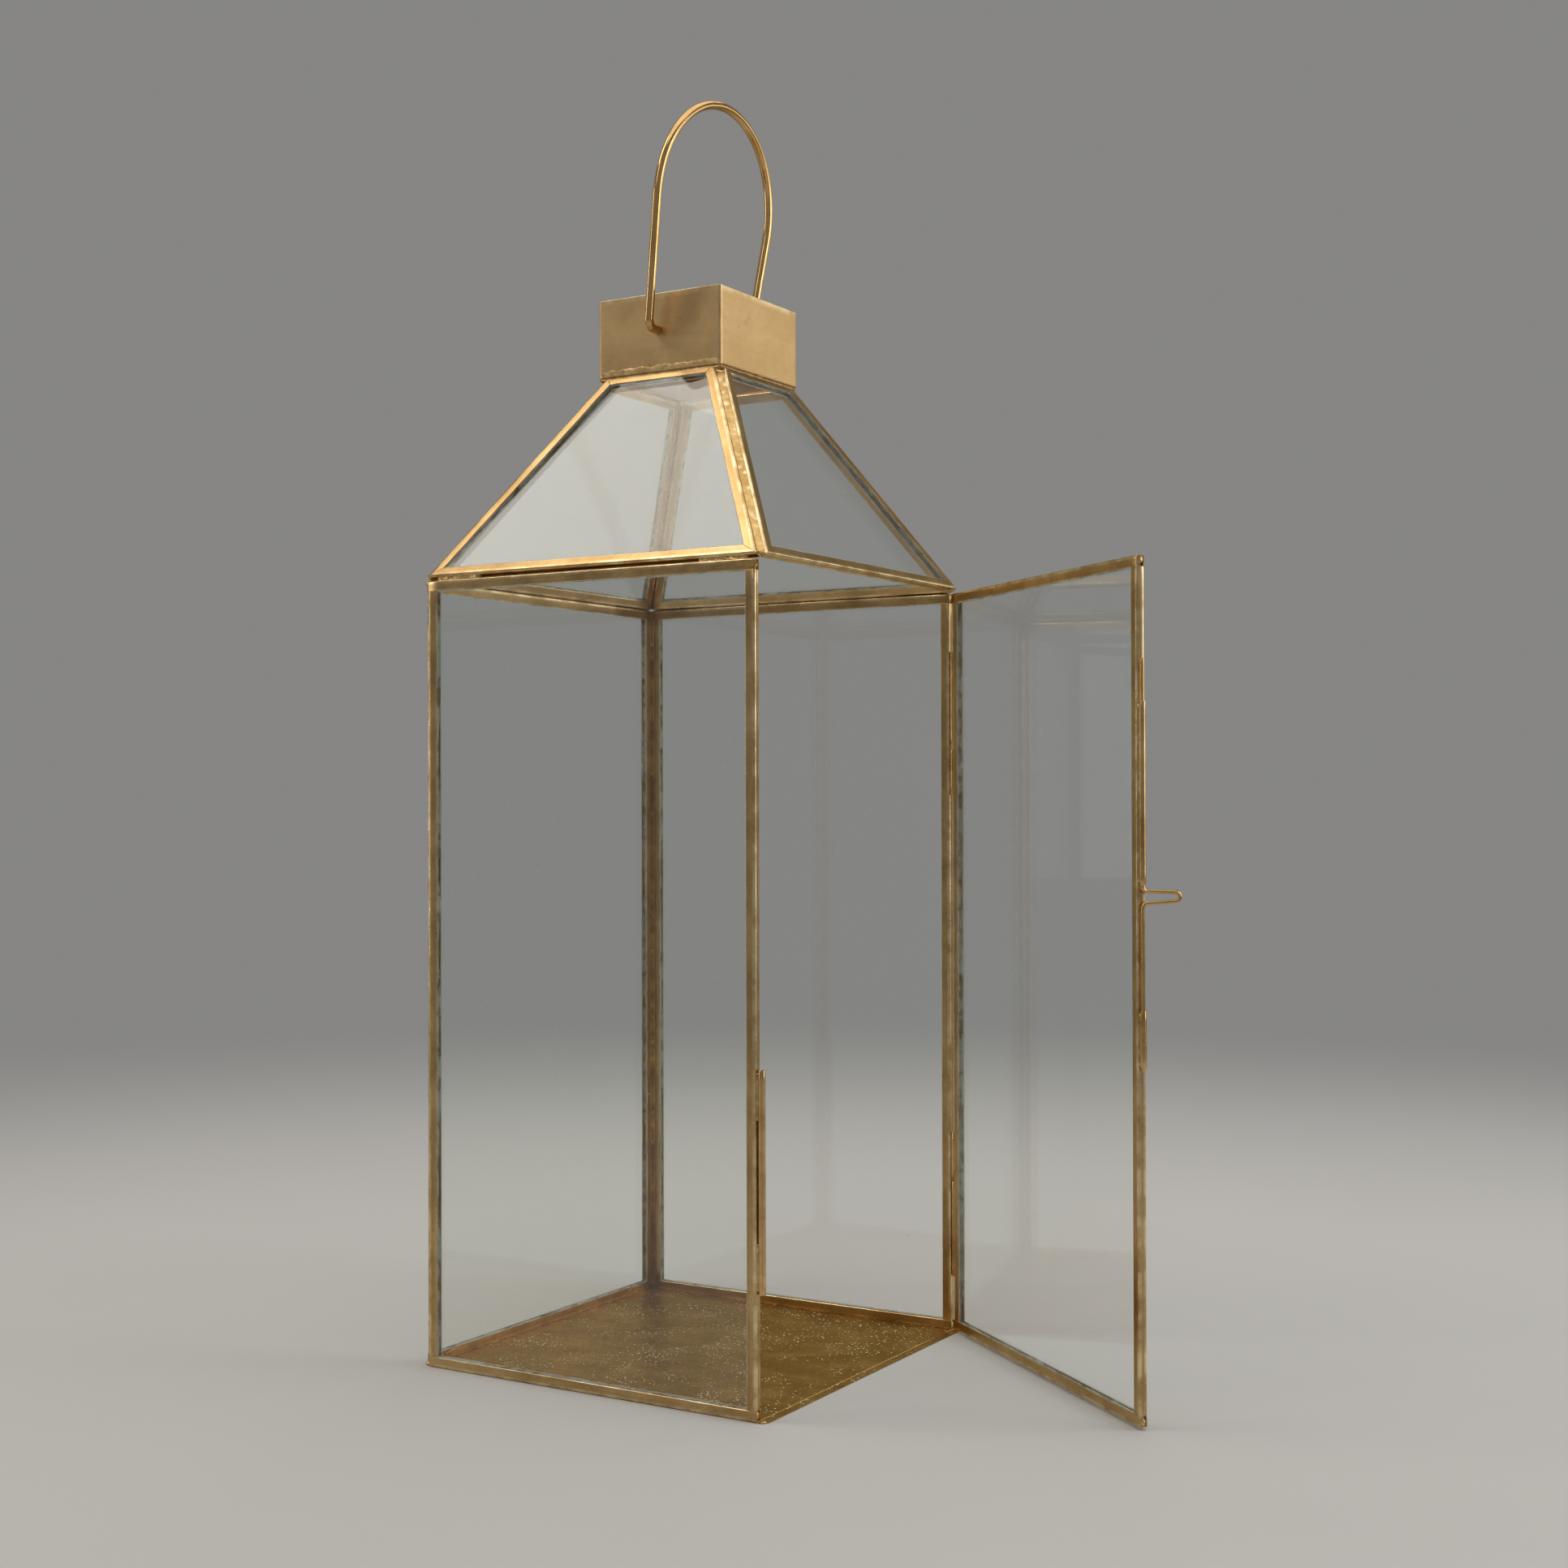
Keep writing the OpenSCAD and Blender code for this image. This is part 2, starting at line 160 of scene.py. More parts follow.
def smooth_faces(mesh, angle=math.radians(32)):
    """Turns the faces outwards and shades them smooth, apart from real edges."""
    work = bmesh.new()
    work.from_mesh(mesh)
    bmesh.ops.recalc_face_normals(work, faces=work.faces)
    for face in work.faces:
        face.smooth = True
    for edge in work.edges:
        edge.smooth = edge.calc_face_angle(math.pi) < angle
    work.to_mesh(mesh)
    work.free()


def set_numbers(mesh, name, values):
    """Gives each vertex a number, or a vector, that the materials can read."""
    values = np.asarray(values, np.float32)
    kind, key = ("FLOAT", "value") if values.ndim == 1 else ("FLOAT_VECTOR", "vector")
    layer = mesh.attributes.new(name, kind, "POINT")
    layer.data.foreach_set(key, values.ravel())


# Lines that the torch has been along: start, end and how far the browning reaches
HEAT = []


def heat_of(points):
    """How much the torch has coloured the brass at each point, from 0 to 1."""
    result = np.zeros(len(points))
    for start, end, reach in HEAT:
        along = end - start
        share = np.clip((points - start) @ along / max(along @ along, 1e-12), 0, 1)
        gap = np.linalg.norm(points - start - share[:, None] * along, axis=1)
        result = np.maximum(result, np.exp(-((gap / reach) ** 2)))
    return result


def finish_piece(piece, body, material, nodes=()):
    """Puts a piece on its body, with its finish and the CAD nodes that it stands for."""
    piece.data.materials.append(material)
    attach(piece, body)
    if nodes:
        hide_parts(*nodes)
    return piece


def add_object(name, data):
    """A new object in the scene, made of a mesh, a light or a camera."""
    thing = bpy.data.objects.new(name, data)
    bpy.context.scene.collection.objects.link(thing)
    return thing


def make_object(name, points, faces, grain=None, wear_and_highlight=None, angle=math.radians(32)):
    """An object from points and faces, with the numbers that the materials read."""
    points = np.asarray(points, float).reshape(-1, 3)
    mesh = bpy.data.meshes.new(name)
    mesh.from_pydata([tuple(p) for p in points], [], faces)
    set_numbers(mesh, "grain", points if grain is None else grain)
    set_numbers(mesh, "wear_and_highlight", np.zeros(len(points)) if wear_and_highlight is None else wear_and_highlight)
    set_numbers(mesh, "heat", heat_of(points))
    smooth_faces(mesh, angle)
    return add_object(name, mesh)


def loft_faces(count, size, caps, first=0):
    """Faces that join rings of points; a sheet's caps are strips, a wire's are whole faces."""
    faces = []
    for i in range(count - 1):
        for j in range(size):
            k = (j + 1) % size
            near, far = first + i * size, first + (i + 1) * size
            faces.append((near + j, near + k, far + k, far + j))
    for base in (first, first + (count - 1) * size):
        if caps == "sheet":
            for j in range(size // 2 - 1):
                faces.append((base + j, base + j + 1, base + size - 2 - j, base + size - 1 - j))
        else:
            faces.append(tuple(range(base, base + size)))
    return faces


def loft(name, rings, caps="whole", wear_and_highlight=None, angle=math.radians(32)):
    """A closed skin over rings, an array of count x size x 3."""
    rings = np.asarray(rings, float)
    count, size = rings.shape[:2]
    middles = rings.mean(axis=1)
    # The grain runs along and round the piece, and its third number differs from piece to piece
    along = np.concatenate([[0], np.cumsum(np.linalg.norm(np.diff(middles, axis=0), axis=1))])
    steps = np.linalg.norm(np.diff(rings[count // 2], axis=0), axis=1)
    around = np.concatenate([[0], np.cumsum(steps)])
    layer = float(abs(middles[0].sum()) * 17 % 5)
    grain = np.stack(
        [np.repeat(along, size), np.tile(around, count), np.full(count * size, layer)], axis=1
    )
    if wear_and_highlight is not None:
        wear_and_highlight = np.tile(wear_and_highlight, count)
    return make_object(name, rings, loft_faces(count, size, caps), grain, wear_and_highlight, angle)


# ---- Materials ----


class Graph:
    """A material under construction; each method adds a node and gives back its output."""

    def __init__(self, name):
        self.material = bpy.data.materials.new(name)
        self.material.use_nodes = True
        self.nodes = self.material.node_tree.nodes
        self.links = self.material.node_tree.links
        self.nodes.clear()

    def add(self, kind, inputs=None, **settings):
        node = self.nodes.new(kind)
        for name, value in settings.items():
            setattr(node, name, value)
        for key, value in (inputs or {}).items():
            socket = node.inputs[key]
            if isinstance(value, bpy.types.NodeSocket):
                self.links.new(value, socket)
            else:
                socket.default_value = value
        return node

    def place(self):
        return self.add("ShaderNodeTexCoord").outputs["Object"]

    def number(self, name):
        return self.add("ShaderNodeAttribute", attribute_name=name).outputs["Fac"]

    def vector(self, name):
        return self.add("ShaderNodeAttribute", attribute_name=name).outputs["Vector"]

    def scaled(self, vector, scale):
        return self.add("ShaderNodeMapping", {"Vector": vector, "Scale": scale}).outputs[0]

    def noise(self, vector, scale, detail=4.0, rough=0.55):
        inputs = {"Vector": vector, "Scale": scale, "Detail": detail, "Roughness": rough}
        return self.add("ShaderNodeTexNoise", inputs).outputs["Fac"]

    def cells(self, vector, scale):
        inputs = {"Vector": vector, "Scale": scale}
        return self.add("ShaderNodeTexVoronoi", inputs).outputs["Distance"]

    def ranged(self, value, low_in, high_in, low_out=0.0, high_out=1.0):
        inputs = {0: value, 1: low_in, 2: high_in, 3: low_out, 4: high_out}
        return self.add("ShaderNodeMapRange", inputs, interpolation_type="SMOOTHSTEP").outputs[0]

    def math(self, operation, first, second=0.0):
        return self.add("ShaderNodeMath", {0: first, 1: second}, operation=operation).outputs[0]

    def times(self, first, second):
        return self.math("MULTIPLY", first, second)

    def plus(self, first, *others):
        for other in others:
            first = self.math("ADD", first, other)
        return first

    def mix(self, factor, first, second):
        inputs = {0: factor, 6: first, 7: second}
        return self.add("ShaderNodeMix", inputs, data_type="RGBA").outputs[2]

    def bump(self, height, depth, before=None):
        inputs = {"Height": height, "Distance": depth, "Strength": 1.0}
        if before is not None:
            inputs["Normal"] = before
        return self.add("ShaderNodeBump", inputs).outputs[0]

    def finish(self, shader):
        self.add("ShaderNodeOutputMaterial", {"Surface": shader})
        return self.material


def colour(red, green, blue):
    return (red, green, blue, 1.0)


BROWN_STAIN = colour(0.23, 0.13, 0.05)
TORCH_BROWN = colour(0.24, 0.115, 0.045)
# Rubbed brass, which on the folds and lips is also a painted highlight
RUBBED_BRASS_AND_HIGHLIGHT = colour(0.92, 0.74, 0.45)
DUST = colour(1.0, 0.93, 0.74)
EDGE_TINT = (0.95, 0.84, 0.62)


def brass(
    name, bright, dark, rough, brushed=0.5, mottled=0.5, uneven=1.0, dusty=0.0, edge=EDGE_TINT
):
    """Aged brass: brushed along its grain, mottled, browned by the torch, worn on its folds, where
    the lighter rubbed colour is also a painted highlight.

    Its tone goes between bright and dark, and edge is its tint where it is seen edge-on. The
    other numbers go from 0 to 1, and say how rough, brushed, mottled, uneven and dusty it is.
    """
    g = Graph(name)
    place = g.place()
    grain = g.vector("grain")
    heat = g.number("heat")
    wear_and_highlight = g.number("wear_and_highlight")
    strokes = g.noise(g.scaled(grain, (26.0, 2600.0, 9.0)), 1.0, 5.0, 0.62)
    bands = g.noise(g.scaled(grain, (9.0, 420.0, 5.0)), 1.0, 3.0)
    clouds = g.noise(place, 42.0, 5.0, 0.6)
    mottle = g.noise(place, 420.0, 5.0, 0.7)
    stains = g.ranged(g.noise(place, 130.0, 6.0, 0.68), 0.58, 0.72)

    streaks = brushed * 0.6
    texture = mottled + streaks
    tone = g.plus(g.times(clouds, 0.9), g.times(mottle, mottled), g.times(bands, streaks))
    tone = g.ranged(tone, 0.3 + 0.35 * texture, 0.75 + 0.6 * texture)
    base = g.mix(tone, colour(*dark), colour(*bright))
    base = g.mix(g.times(stains, 0.35 * uneven), base, BROWN_STAIN)
    browned = g.ranged(g.times(heat, g.plus(mottle, 0.45)), 0.1, 0.85)
    base = g.mix(g.times(browned, 0.8), base, TORCH_BROWN)
    # Lighter where the wear number is high: rubbed brass, and on the folds and lips a painted
    # highlight as well
    rubbed_and_highlight = g.times(wear_and_highlight, g.ranged(g.noise(place, 90.0, 3.0), 0.3, 0.7))
    base = g.mix(g.times(rubbed_and_highlight, 0.8), base, RUBBED_BRASS_AND_HIGHLIGHT)

    roughness = g.plus(
        g.times(clouds, 0.14), g.times(strokes, 0.12), g.times(browned, 0.12),
        g.times(rubbed_and_highlight, -0.08), rough - 0.12,
    )

    metal = 1.0
    if dusty:
        spots = g.ranged(g.cells(place, 230.0), 0.09, 0.13, 1.0, 0.0)
        fine = g.ranged(g.cells(place, 420.0), 0.13, 0.20, 1.0, 0.0)
        patches = g.ranged(g.noise(place, 34.0, 4.0), 0.36, 0.58)
        dust = g.times(g.math("MAXIMUM", spots, fine), g.times(patches, dusty))
        base = g.mix(dust, base, DUST)
        roughness = g.plus(roughness, g.times(dust, 0.3))
        metal = g.math("SUBTRACT", 1.0, dust)

    normal = g.bump(strokes, 0.000012 * brushed * uneven)
    normal = g.bump(mottle, 0.00001 * uneven, normal)
    normal = g.bump(clouds, 0.00012 * uneven, normal)
    inputs = {"Base Color": base, "Roughness": roughness, "Metallic": metal, "Normal": normal}
    inputs["Specular Tint"] = colour(*edge)
    return g.finish(g.add("ShaderNodeBsdfPrincipled", inputs).outputs[0])


def solder_metal(name):
    """Brazed and soldered metal: dull, grainy, scorched brown, with bright worn tips."""
    g = Graph(name)
    place = g.place()
    clouds = g.noise(place, 160.0, 5.0, 0.6)
    grains = g.noise(place, 900.0, 4.0, 0.7)
    scorch = g.ranged(g.noise(place, 260.0, 5.0, 0.65), 0.42, 0.66)
    base = g.mix(clouds, colour(0.44, 0.28, 0.11), colour(0.78, 0.54, 0.25))
    base = g.mix(g.times(scorch, 0.45), base, colour(0.20, 0.10, 0.04))
    base = g.mix(g.times(g.number("wear_and_highlight"), 0.3), base, colour(0.88, 0.68, 0.38))
    roughness = g.plus(g.times(grains, 0.26), 0.24)
    normal = g.bump(clouds, 0.00024)
    normal = g.bump(grains, 0.00004, normal)
    inputs = {"Base Color": base, "Roughness": roughness, "Metallic": 1.0, "Normal": normal}
    return g.finish(g.add("ShaderNodeBsdfPrincipled", inputs).outputs[0])


def clear_glass(name):
    """Clear sheet glass with a faint green cast, wiped smudges, dust and a hazy rim, whose pale band
    is residue and also a painted glow of light carried along the glass edge.
    """
    g = Graph(name)
    place = g.place()
    rim = g.number("rim")
    wipes = g.ranged(g.noise(g.scaled(place, (30.0, 30.0, 9.0)), 1.0, 6.0, 0.6), 0.5, 0.75)
    fingers = g.ranged(g.noise(place, 55.0, 5.0, 0.7), 0.6, 0.74)
    specks = g.ranged(g.cells(place, 190.0), 0.035, 0.075, 1.0, 0.0)
    specks = g.times(specks, g.ranged(g.noise(place, 30.0, 2.0), 0.46, 0.6))
    # A pale band just outside the channels' lips: residue, and a painted glow of light carried along
    # the glass edge
    residue_and_edge_glow = g.times(g.ranged(rim, 0.55, 0.9), g.ranged(g.noise(place, 150.0, 3.0), 0.25, 0.6))
    haze_and_edge_glow = g.plus(
        g.times(wipes, 0.005), g.times(fingers, 0.008), g.times(residue_and_edge_glow, 0.7), g.times(specks, 0.5)
    )
    haze_and_edge_glow = g.math("MINIMUM", haze_and_edge_glow, 0.9)
    tint = g.mix(rim, colour(0.986, 0.992, 0.987), colour(0.965, 0.985, 0.973))
    clear = g.add("ShaderNodeBsdfTransparent", {"Color": tint}).outputs[0]
    gloss = g.add(
        "ShaderNodeBsdfGlossy",
        {"Color": colour(0.97, 1.0, 0.98), "Roughness": g.plus(g.times(wipes, 0.03), 0.01)},
    ).outputs[0]
    # Sheet glass mirrors 4 percent face-on, and all of the light edge-on
    edge_on = g.add("ShaderNodeLayerWeight", {"Blend": 0.5}).outputs["Facing"]
    shine = g.plus(g.times(g.math("POWER", edge_on, 5.0), 0.96), 0.04)
    glass = g.add("ShaderNodeMixShader", {0: shine, 1: clear, 2: gloss}).outputs[0]
    # The pale diffuse film of the haze, the residue and the painted edge glow
    film_and_edge_glow = g.add("ShaderNodeBsdfDiffuse", {"Color": colour(0.86, 0.91, 0.86)}).outputs[0]
    return g.finish(g.add("ShaderNodeMixShader", {0: haze_and_edge_glow, 1: glass, 2: film_and_edge_glow}).outputs[0])


SURROUND = colour(0.80, 0.79, 0.77)
SURROUND_LIGHT = 0.30


def stage_floor(name):
    """A plain pale floor with a faint unevenness, which fades into the surround far away."""
    g = Graph(name)
    place = g.place()
    clouds = g.noise(place, 3.0, 3.0)
    base = g.mix(clouds, colour(0.60, 0.59, 0.57), colour(0.64, 0.63, 0.61))
    near = g.add("ShaderNodeBsdfPrincipled", {"Base Color": base, "Roughness": 0.6}).outputs[0]
    far = g.add("ShaderNodeEmission", {"Color": SURROUND, "Strength": SURROUND_LIGHT}).outputs[0]
    distance = g.add("ShaderNodeVectorMath", {0: place}, operation="LENGTH").outputs["Value"]
    fade = g.ranged(distance, 0.45, 1.7)
    return g.finish(g.add("ShaderNodeMixShader", {0: fade, 1: near, 2: far}).outputs[0])


CHANNEL = brass(
    "brass_channel", (0.63, 0.44, 0.215), (0.36, 0.225, 0.09), rough=0.30,
    brushed=0.6, mottled=0.3, uneven=0.5,
)
SHEET_BRASS = brass(
    "brass_sheet", (0.66, 0.455, 0.225), (0.53, 0.35, 0.16), rough=0.42, brushed=0.25, mottled=0.25
)
FLOOR_BRASS = brass(
    "brass_floor", (0.66, 0.42, 0.155), (0.38, 0.225, 0.075), rough=0.36,
    brushed=0.5, mottled=0.3, dusty=1.0, edge=(0.95, 0.74, 0.43),
)
TUBE = brass(
    "brass_tube", (0.72, 0.47, 0.20), (0.36, 0.205, 0.075), rough=0.26, brushed=0.5, mottled=0.4
)
WIRE = brass(
    "brass_wire", (0.82, 0.56, 0.26), (0.58, 0.35, 0.13), rough=0.13,
    brushed=0.1, mottled=0.2, uneven=0.15,
)
BRAZE = brass(
    "brass_braze", (0.72, 0.49, 0.20), (0.42, 0.25, 0.08), rough=0.30, brushed=0.1, mottled=0.7
)
SOLDER = solder_metal("solder")
GLASS = clear_glass("clear_glass")

# ---- Solder runs, listed first because they set where the brass is browned ----

SOLDER_LOOKS = {
    "corner_solder": BRAZE,
    "hip_solder": BRAZE,
    "eave_solder": SOLDER,
    "neck_solder": SOLDER,
    "post_solder": BRAZE,
    "door_solder": BRAZE,
}
RUNS = {node: [] for node in SOLDER_LOOKS}
BLOBS = {node: [] for node in SOLDER_LOOKS}
RUN_L = 22 * MM
EAVE_L = 28 * MM
BLOB_SCORCH = 5.5 * MM


def add_run(
    node, matrix, start, along, length, side_a, leg_a, side_b, leg_b,
    curve=1.7, scorch=7 * MM, lumpy=1.0,
):
    """A run in a corner: it climbs side_a by leg_a and side_b by leg_b.

    Its face is flat where curve is 2, fuller below that and hollow above. It browns the brass
    as far as scorch.
    """
    start = matrix @ Vector(start)
    turn = matrix.to_3x3()
    along, side_a, side_b = (turn @ Vector(v) for v in (along, side_a, side_b))
    RUNS[node].append((start, along, length, side_a, leg_a, side_b, leg_b, curve, lumpy))
    end = start + along * length
    if scorch:
        HEAT.append((np.array(start), np.array(end), scorch))


def add_blob(node, matrix, middle, size):
    """A lump; size is its half width along the matrix's three axes."""
    BLOBS[node].append((matrix, Vector(middle), size))
    point = np.array(matrix @ Vector(middle))
    HEAT.append((point, point, BLOB_SCORCH))


def list_corner_solder():
    """A thin run up each rear corner, and thick ones over its foot and its top."""
    thin = 1.5 * MM
    thick = 3.7 * MM
    tuck = 0.2 * MM
    for side in (-1, 1):
        add_run(
            "corner_solder", STILL, (side * (END_Y - tuck), END_Y - tuck, 2 * MM), UP,
            BODY_H - 4 * MM, (side, 0, 0), thin, (0, 1, 0), thin, 2.0, 0,
        )
        for z, scorch in ((MM, 2 * MM), (BODY_H - MM - RUN_L, 5 * MM)):
            add_run(
                "corner_solder", STILL, (side * END_Y, END_Y, z), UP, RUN_L,
                (side, 0, 0), thick, (0, 1, 0), thick, 2.0, scorch,
            )


def list_hip_solder():
    """A run that fills the groove along each hip, and is thicker at both ends."""
    apex = Vector((ROOF_LOW, 0, -CHAN_T))
    hip = Vector((-math.sin(ROOF_TILT), 1, 0))
    hip_l = ROOF_SLANT * hip.length
    hip.normalize()
    for turn in range(4):
        place = roof_panel(turn)
        side_b = place.to_3x3().inverted() @ roof_panel(turn + 1).to_3x3() @ UP
        for start, length, leg, curve in (
            (MM, hip_l - 3 * MM, 3.0 * MM, 2.2),
            (1.5 * MM, RUN_L, 3.5 * MM, 2.6),
            (hip_l - RUN_L - 2 * MM, RUN_L, 3.5 * MM, 2.6),
        ):
            add_run(
                "hip_solder", place, apex + hip * start, hip, length,
                (0, 0, 1), leg, side_b, leg, curve, 0, 0.2,
            )


def list_eave_solder():
    """A bead under each eave but the door's, with a thick run near both of its ends."""
    inner = HALF - CHAN_T * math.cos(ROOF_TILT)
    slope = (0, -math.cos(ROOF_TILT), math.sin(ROOF_TILT))
    bead = 0.8 * MM
    for turn in (1, 2, 3):
        place = quarter_turn(turn)
        add_run(
            "eave_solder", place, (2 * MM - ROOF_LOW, -inner, BODY_H), (1, 0, 0),
            2 * ROOF_LOW - 4 * MM, (0, -1, 0), bead, slope, bead, 2.0, 0,
        )
        for start in (-ROOF_LOW + 5 * MM, ROOF_LOW - 5 * MM - EAVE_L):
            add_run(
                "eave_solder", place, (start, -inner, BODY_H), (1, 0, 0), EAVE_L,
                (0, -1, 0), 2.9 * MM, slope, 3.4 * MM, 2.2,
            )


def list_neck_solder():
    """Under each face of the neck a recessed run, and a thin smear that climbs the face."""
    fall = (0, -math.sin(ROOF_TILT), -math.cos(ROOF_TILT))
    foot = ROOF_Z + (HALF - NECK_HALF) / math.tan(ROOF_TILT)
    reach = 36 * MM
    tuck = 0.5 * MM
    for turn, climb in enumerate((0.7 * MM, 3.0 * MM, 2.6 * MM, 3.3 * MM)):
        place = quarter_turn(turn)
        start = (-reach, tuck - NECK_HALF, foot + tuck / math.tan(ROOF_TILT))
        add_run(
            "neck_solder", place, start, (1, 0, 0), 2 * reach,
            (0, 0, 1), 1.3 * MM, fall, 0.8 * MM, 2.4,
        )
        start = (-reach, -NECK_HALF, NECK_LOW + 0.1 * MM)
        add_run(
            "neck_solder", place, start, (1, 0, 0), 2 * reach,
            (0, 0, 1), climb, (0, -1, 0), 0.42 * MM, 1.3,
        )


def list_tube_solder():
    """Runs that bed the hinge tubes, the keeper and the bolt's guides."""
    for node in ("upper_post_knuckle", "lower_post_knuckle"):
        start, length = low(node, Z) + MM, high(node, Z) - low(node, Z) - 2 * MM
        add_run(
            "post_solder", STILL, (HINGE_X + 0.7 * MM, POST_FACE, start), UP, length,
            (1, 0, 0), 1.5 * MM, (0, -1, 0), 1.3 * MM, 2.2,
        )
    for z in (low("keeper_tube", Z) + MM, high("keeper_tube", Z) - RUN_L - MM):
        for side in (-1, 1):
            add_run(
                "post_solder", STILL, (BOLT_X + side * 0.8 * MM, POST_FACE, z), UP, RUN_L,
                (side, 0, 0), 1.2 * MM, (0, -1, 0), 1.4 * MM, 2.2,
            )
    spans = [("upper_door_knuckle", DOOR_RIGHT, 1), ("lower_door_knuckle", DOOR_RIGHT, 1)]
    spans += [("upper_bolt_guide", DOOR_LEFT, -1), ("lower_bolt_guide", DOOR_LEFT, -1)]
    for node, edge, way in spans:
        start, length = low(node, Z) + MM, high(node, Z) - low(node, Z) - 2 * MM
        for side in (-1, 1):
            add_run(
                "door_solder", OPENED, (edge, BOLT_Y + side * 0.7 * MM, start), UP, length,
                (0, side, 0), 0.9 * MM, (way, 0, 0), 1.1 * MM, 2.2,
            )


def list_frame_lumps():
    """Lumps that close the ends of the rails beside the door and mend the walls' corners."""
    for side in (-1, 1):
        x = side * (HALF - CHAN_T / 2)
        lumps = [
            ((x, POST_FACE + 0.7 * MM, z), (1.7 * MM, 0.65 * MM, 2.2 * MM))
            for z in (CHAN_D / 2, BODY_H - CHAN_D / 2)
        ]
        lumps.append(((x, POST_FACE + MM, BODY_H - 7 * MM), (1.3 * MM, 0.9 * MM, 2.6 * MM)))
        rear = END_Y + 1.6 * MM
        lumps += [((side * rear, rear, z), (1.8 * MM, 1.8 * MM, 0.9 * MM)) for z in (MM, BODY_H - MM)]
        # Smears on the back's bottom rail and a side's top rail, and a lump on the door's ledge
        lumps.append(((side * 78 * MM, END_Y, 3.2 * MM), (9 * MM, 0.22 * MM, 1.5 * MM)))
        y = side * (HALF - 9 * MM)
        lumps.append(((side * HALF, y, BODY_H - 2.4 * MM), (0.2 * MM, 6 * MM, 1.7 * MM)))
        x = side * (HALF - 2.6 * MM)
        lumps.append(((x, 2.4 * MM - HALF, 0.6 * MM), (2.2 * MM, 1.5 * MM, 0.42 * MM)))
        for middle, size in lumps:
            add_blob("corner_solder", STILL, middle, size)


def list_roof_lumps():
    """Lumps at the foot and the top of each hip."""
    for turn in range(4):
        place = roof_panel(turn)
        for side in (-1, 1):
            foot = (side * (ROOF_LOW - 0.5 * MM), 1.3 * MM, -2.2 * MM)
            add_blob("hip_solder", place, foot, (1.3 * MM, 1.2 * MM, 1.5 * MM))
            top = (side * (ROOF_HIGH + 0.4 * MM), ROOF_SLANT - 2.2 * MM, -1.2 * MM)
            add_blob("neck_solder", place, top, (1.4 * MM, 1.8 * MM, 1.1 * MM))


def list_door_lumps():
    """Lumps at the ends of the post's hinge tubes and at the door's corners."""
    for node in ("upper_post_knuckle", "lower_post_knuckle"):
        for z in (low(node, Z) + 2 * MM, high(node, Z) - 1.5 * MM):
            middle = (HINGE_X + 1.4 * MM, POST_FACE - 0.6 * MM, z)
            add_blob("post_solder", STILL, middle, (1.0 * MM, 0.9 * MM, 1.9 * MM))
    for z in (DOOR_LOW + 2 * MM, DOOR_TOP - 2 * MM):
        for x in (DOOR_LEFT + 0.8 * MM, DOOR_RIGHT - 0.8 * MM):
            middle = (x, DOOR_FACE + CHAN_T / 2, z)
            add_blob("door_solder", OPENED, middle, (0.7 * MM, 1.9 * MM, 1.9 * MM))


def run_points(run, seed):
    """Rings of one solder run: a corner filled by an uneven, round-ended fillet."""
    start, along, length, side_a, leg_a, side_b, leg_b, curve, lumpy = run
    count = max(14, int(length / (0.8 * MM)))
    size = 7
    least = 0.05 * MM
    rings = []
    for i in range(count + 1):
        share = i / count
        place = share * length
        ends = (1 - abs(2 * share - 1) ** (length / (1.2 * MM))) ** 0.5
        swell = 0.2 * wander(place, seed, 6 * MM) + 0.12 * wander(place, seed + 3, 2 * MM)
        bulk = ends * (1 + lumpy * swell)
        legs = [
            max(least, leg * min(1.1, bulk * (1 + 0.2 * lumpy * wander(place, seed + step, 3 * MM))))
            for leg, step in ((leg_a, 11), (leg_b, 23))
        ]
        bend = curve + 0.5 * lumpy * wander(place, seed + 31, 3 * MM)
        origin = start + along * place - (side_a + side_b) * 0.12 * MM
        ring = [origin]
        for j in range(size):
            angle = j / (size - 1) * math.pi / 2
            climb_a = side_a * (legs[0] * math.cos(angle) ** bend)
            ring.append(origin + climb_a + side_b * (legs[1] * math.sin(angle) ** bend))
        rings.append(ring)
    return np.array(rings)


def blob_points(matrix, middle, size, seed):
    """Points and faces of a lump: a ball that is squeezed, dented and lumpy."""
    work = bmesh.new()
    bmesh.ops.create_icosphere(work, subdivisions=3, radius=1.0)
    for vert in work.verts:
        ripple = 1 + 0.22 * noise.noise(vert.co * 1.6 + Vector((seed, 0, 0)))
        ripple += 0.12 * noise.noise(vert.co * 4.1 + Vector((0, seed, 0)))
        vert.co = Vector([vert.co[k] * size[k] * min(ripple, 1.12) for k in range(3)])
        vert.co = matrix @ (middle + vert.co)
    work.verts.index_update()
    points = np.array([v.co for v in work.verts])
    faces = [tuple(v.index for v in f.verts) for f in work.faces]
    work.free()
    return points, faces


def inside(points, gap=0.02 * MM):
    """Points held inside the CAD model's box."""
    return np.clip(points, np.array(cad_box[0]) + gap, np.array(cad_box[1]) - gap)


def make_solder(node, body):
    """All runs and lumps of one solder node, as one piece."""
    points, faces = [], []
    total = 0
    for number, run in enumerate(RUNS[node]):
        rings = run_points(run, number + len(node))
        count, size = rings.shape[:2]
        faces += loft_faces(count, size, "whole", total)
        points.append(rings.reshape(-1, 3))
        total += count * size
    for number, (matrix, middle, size) in enumerate(BLOBS[node]):
        shape, own_faces = blob_points(matrix, middle, size, number * 3.7 + len(node))
        faces += [tuple(v + total for v in face) for face in own_faces]
        points.append(shape)
        total += len(shape)
    points = inside(np.concatenate(points))
    wear_and_highlight = [max(0.0, noise.noise(Vector(p) * 420)) * 2 for p in points]
    piece = make_object(node, points, faces, None, wear_and_highlight, math.radians(60))
    finish_piece(piece, body, SOLDER_LOOKS[node], [node])


# ---- Folded channels ----


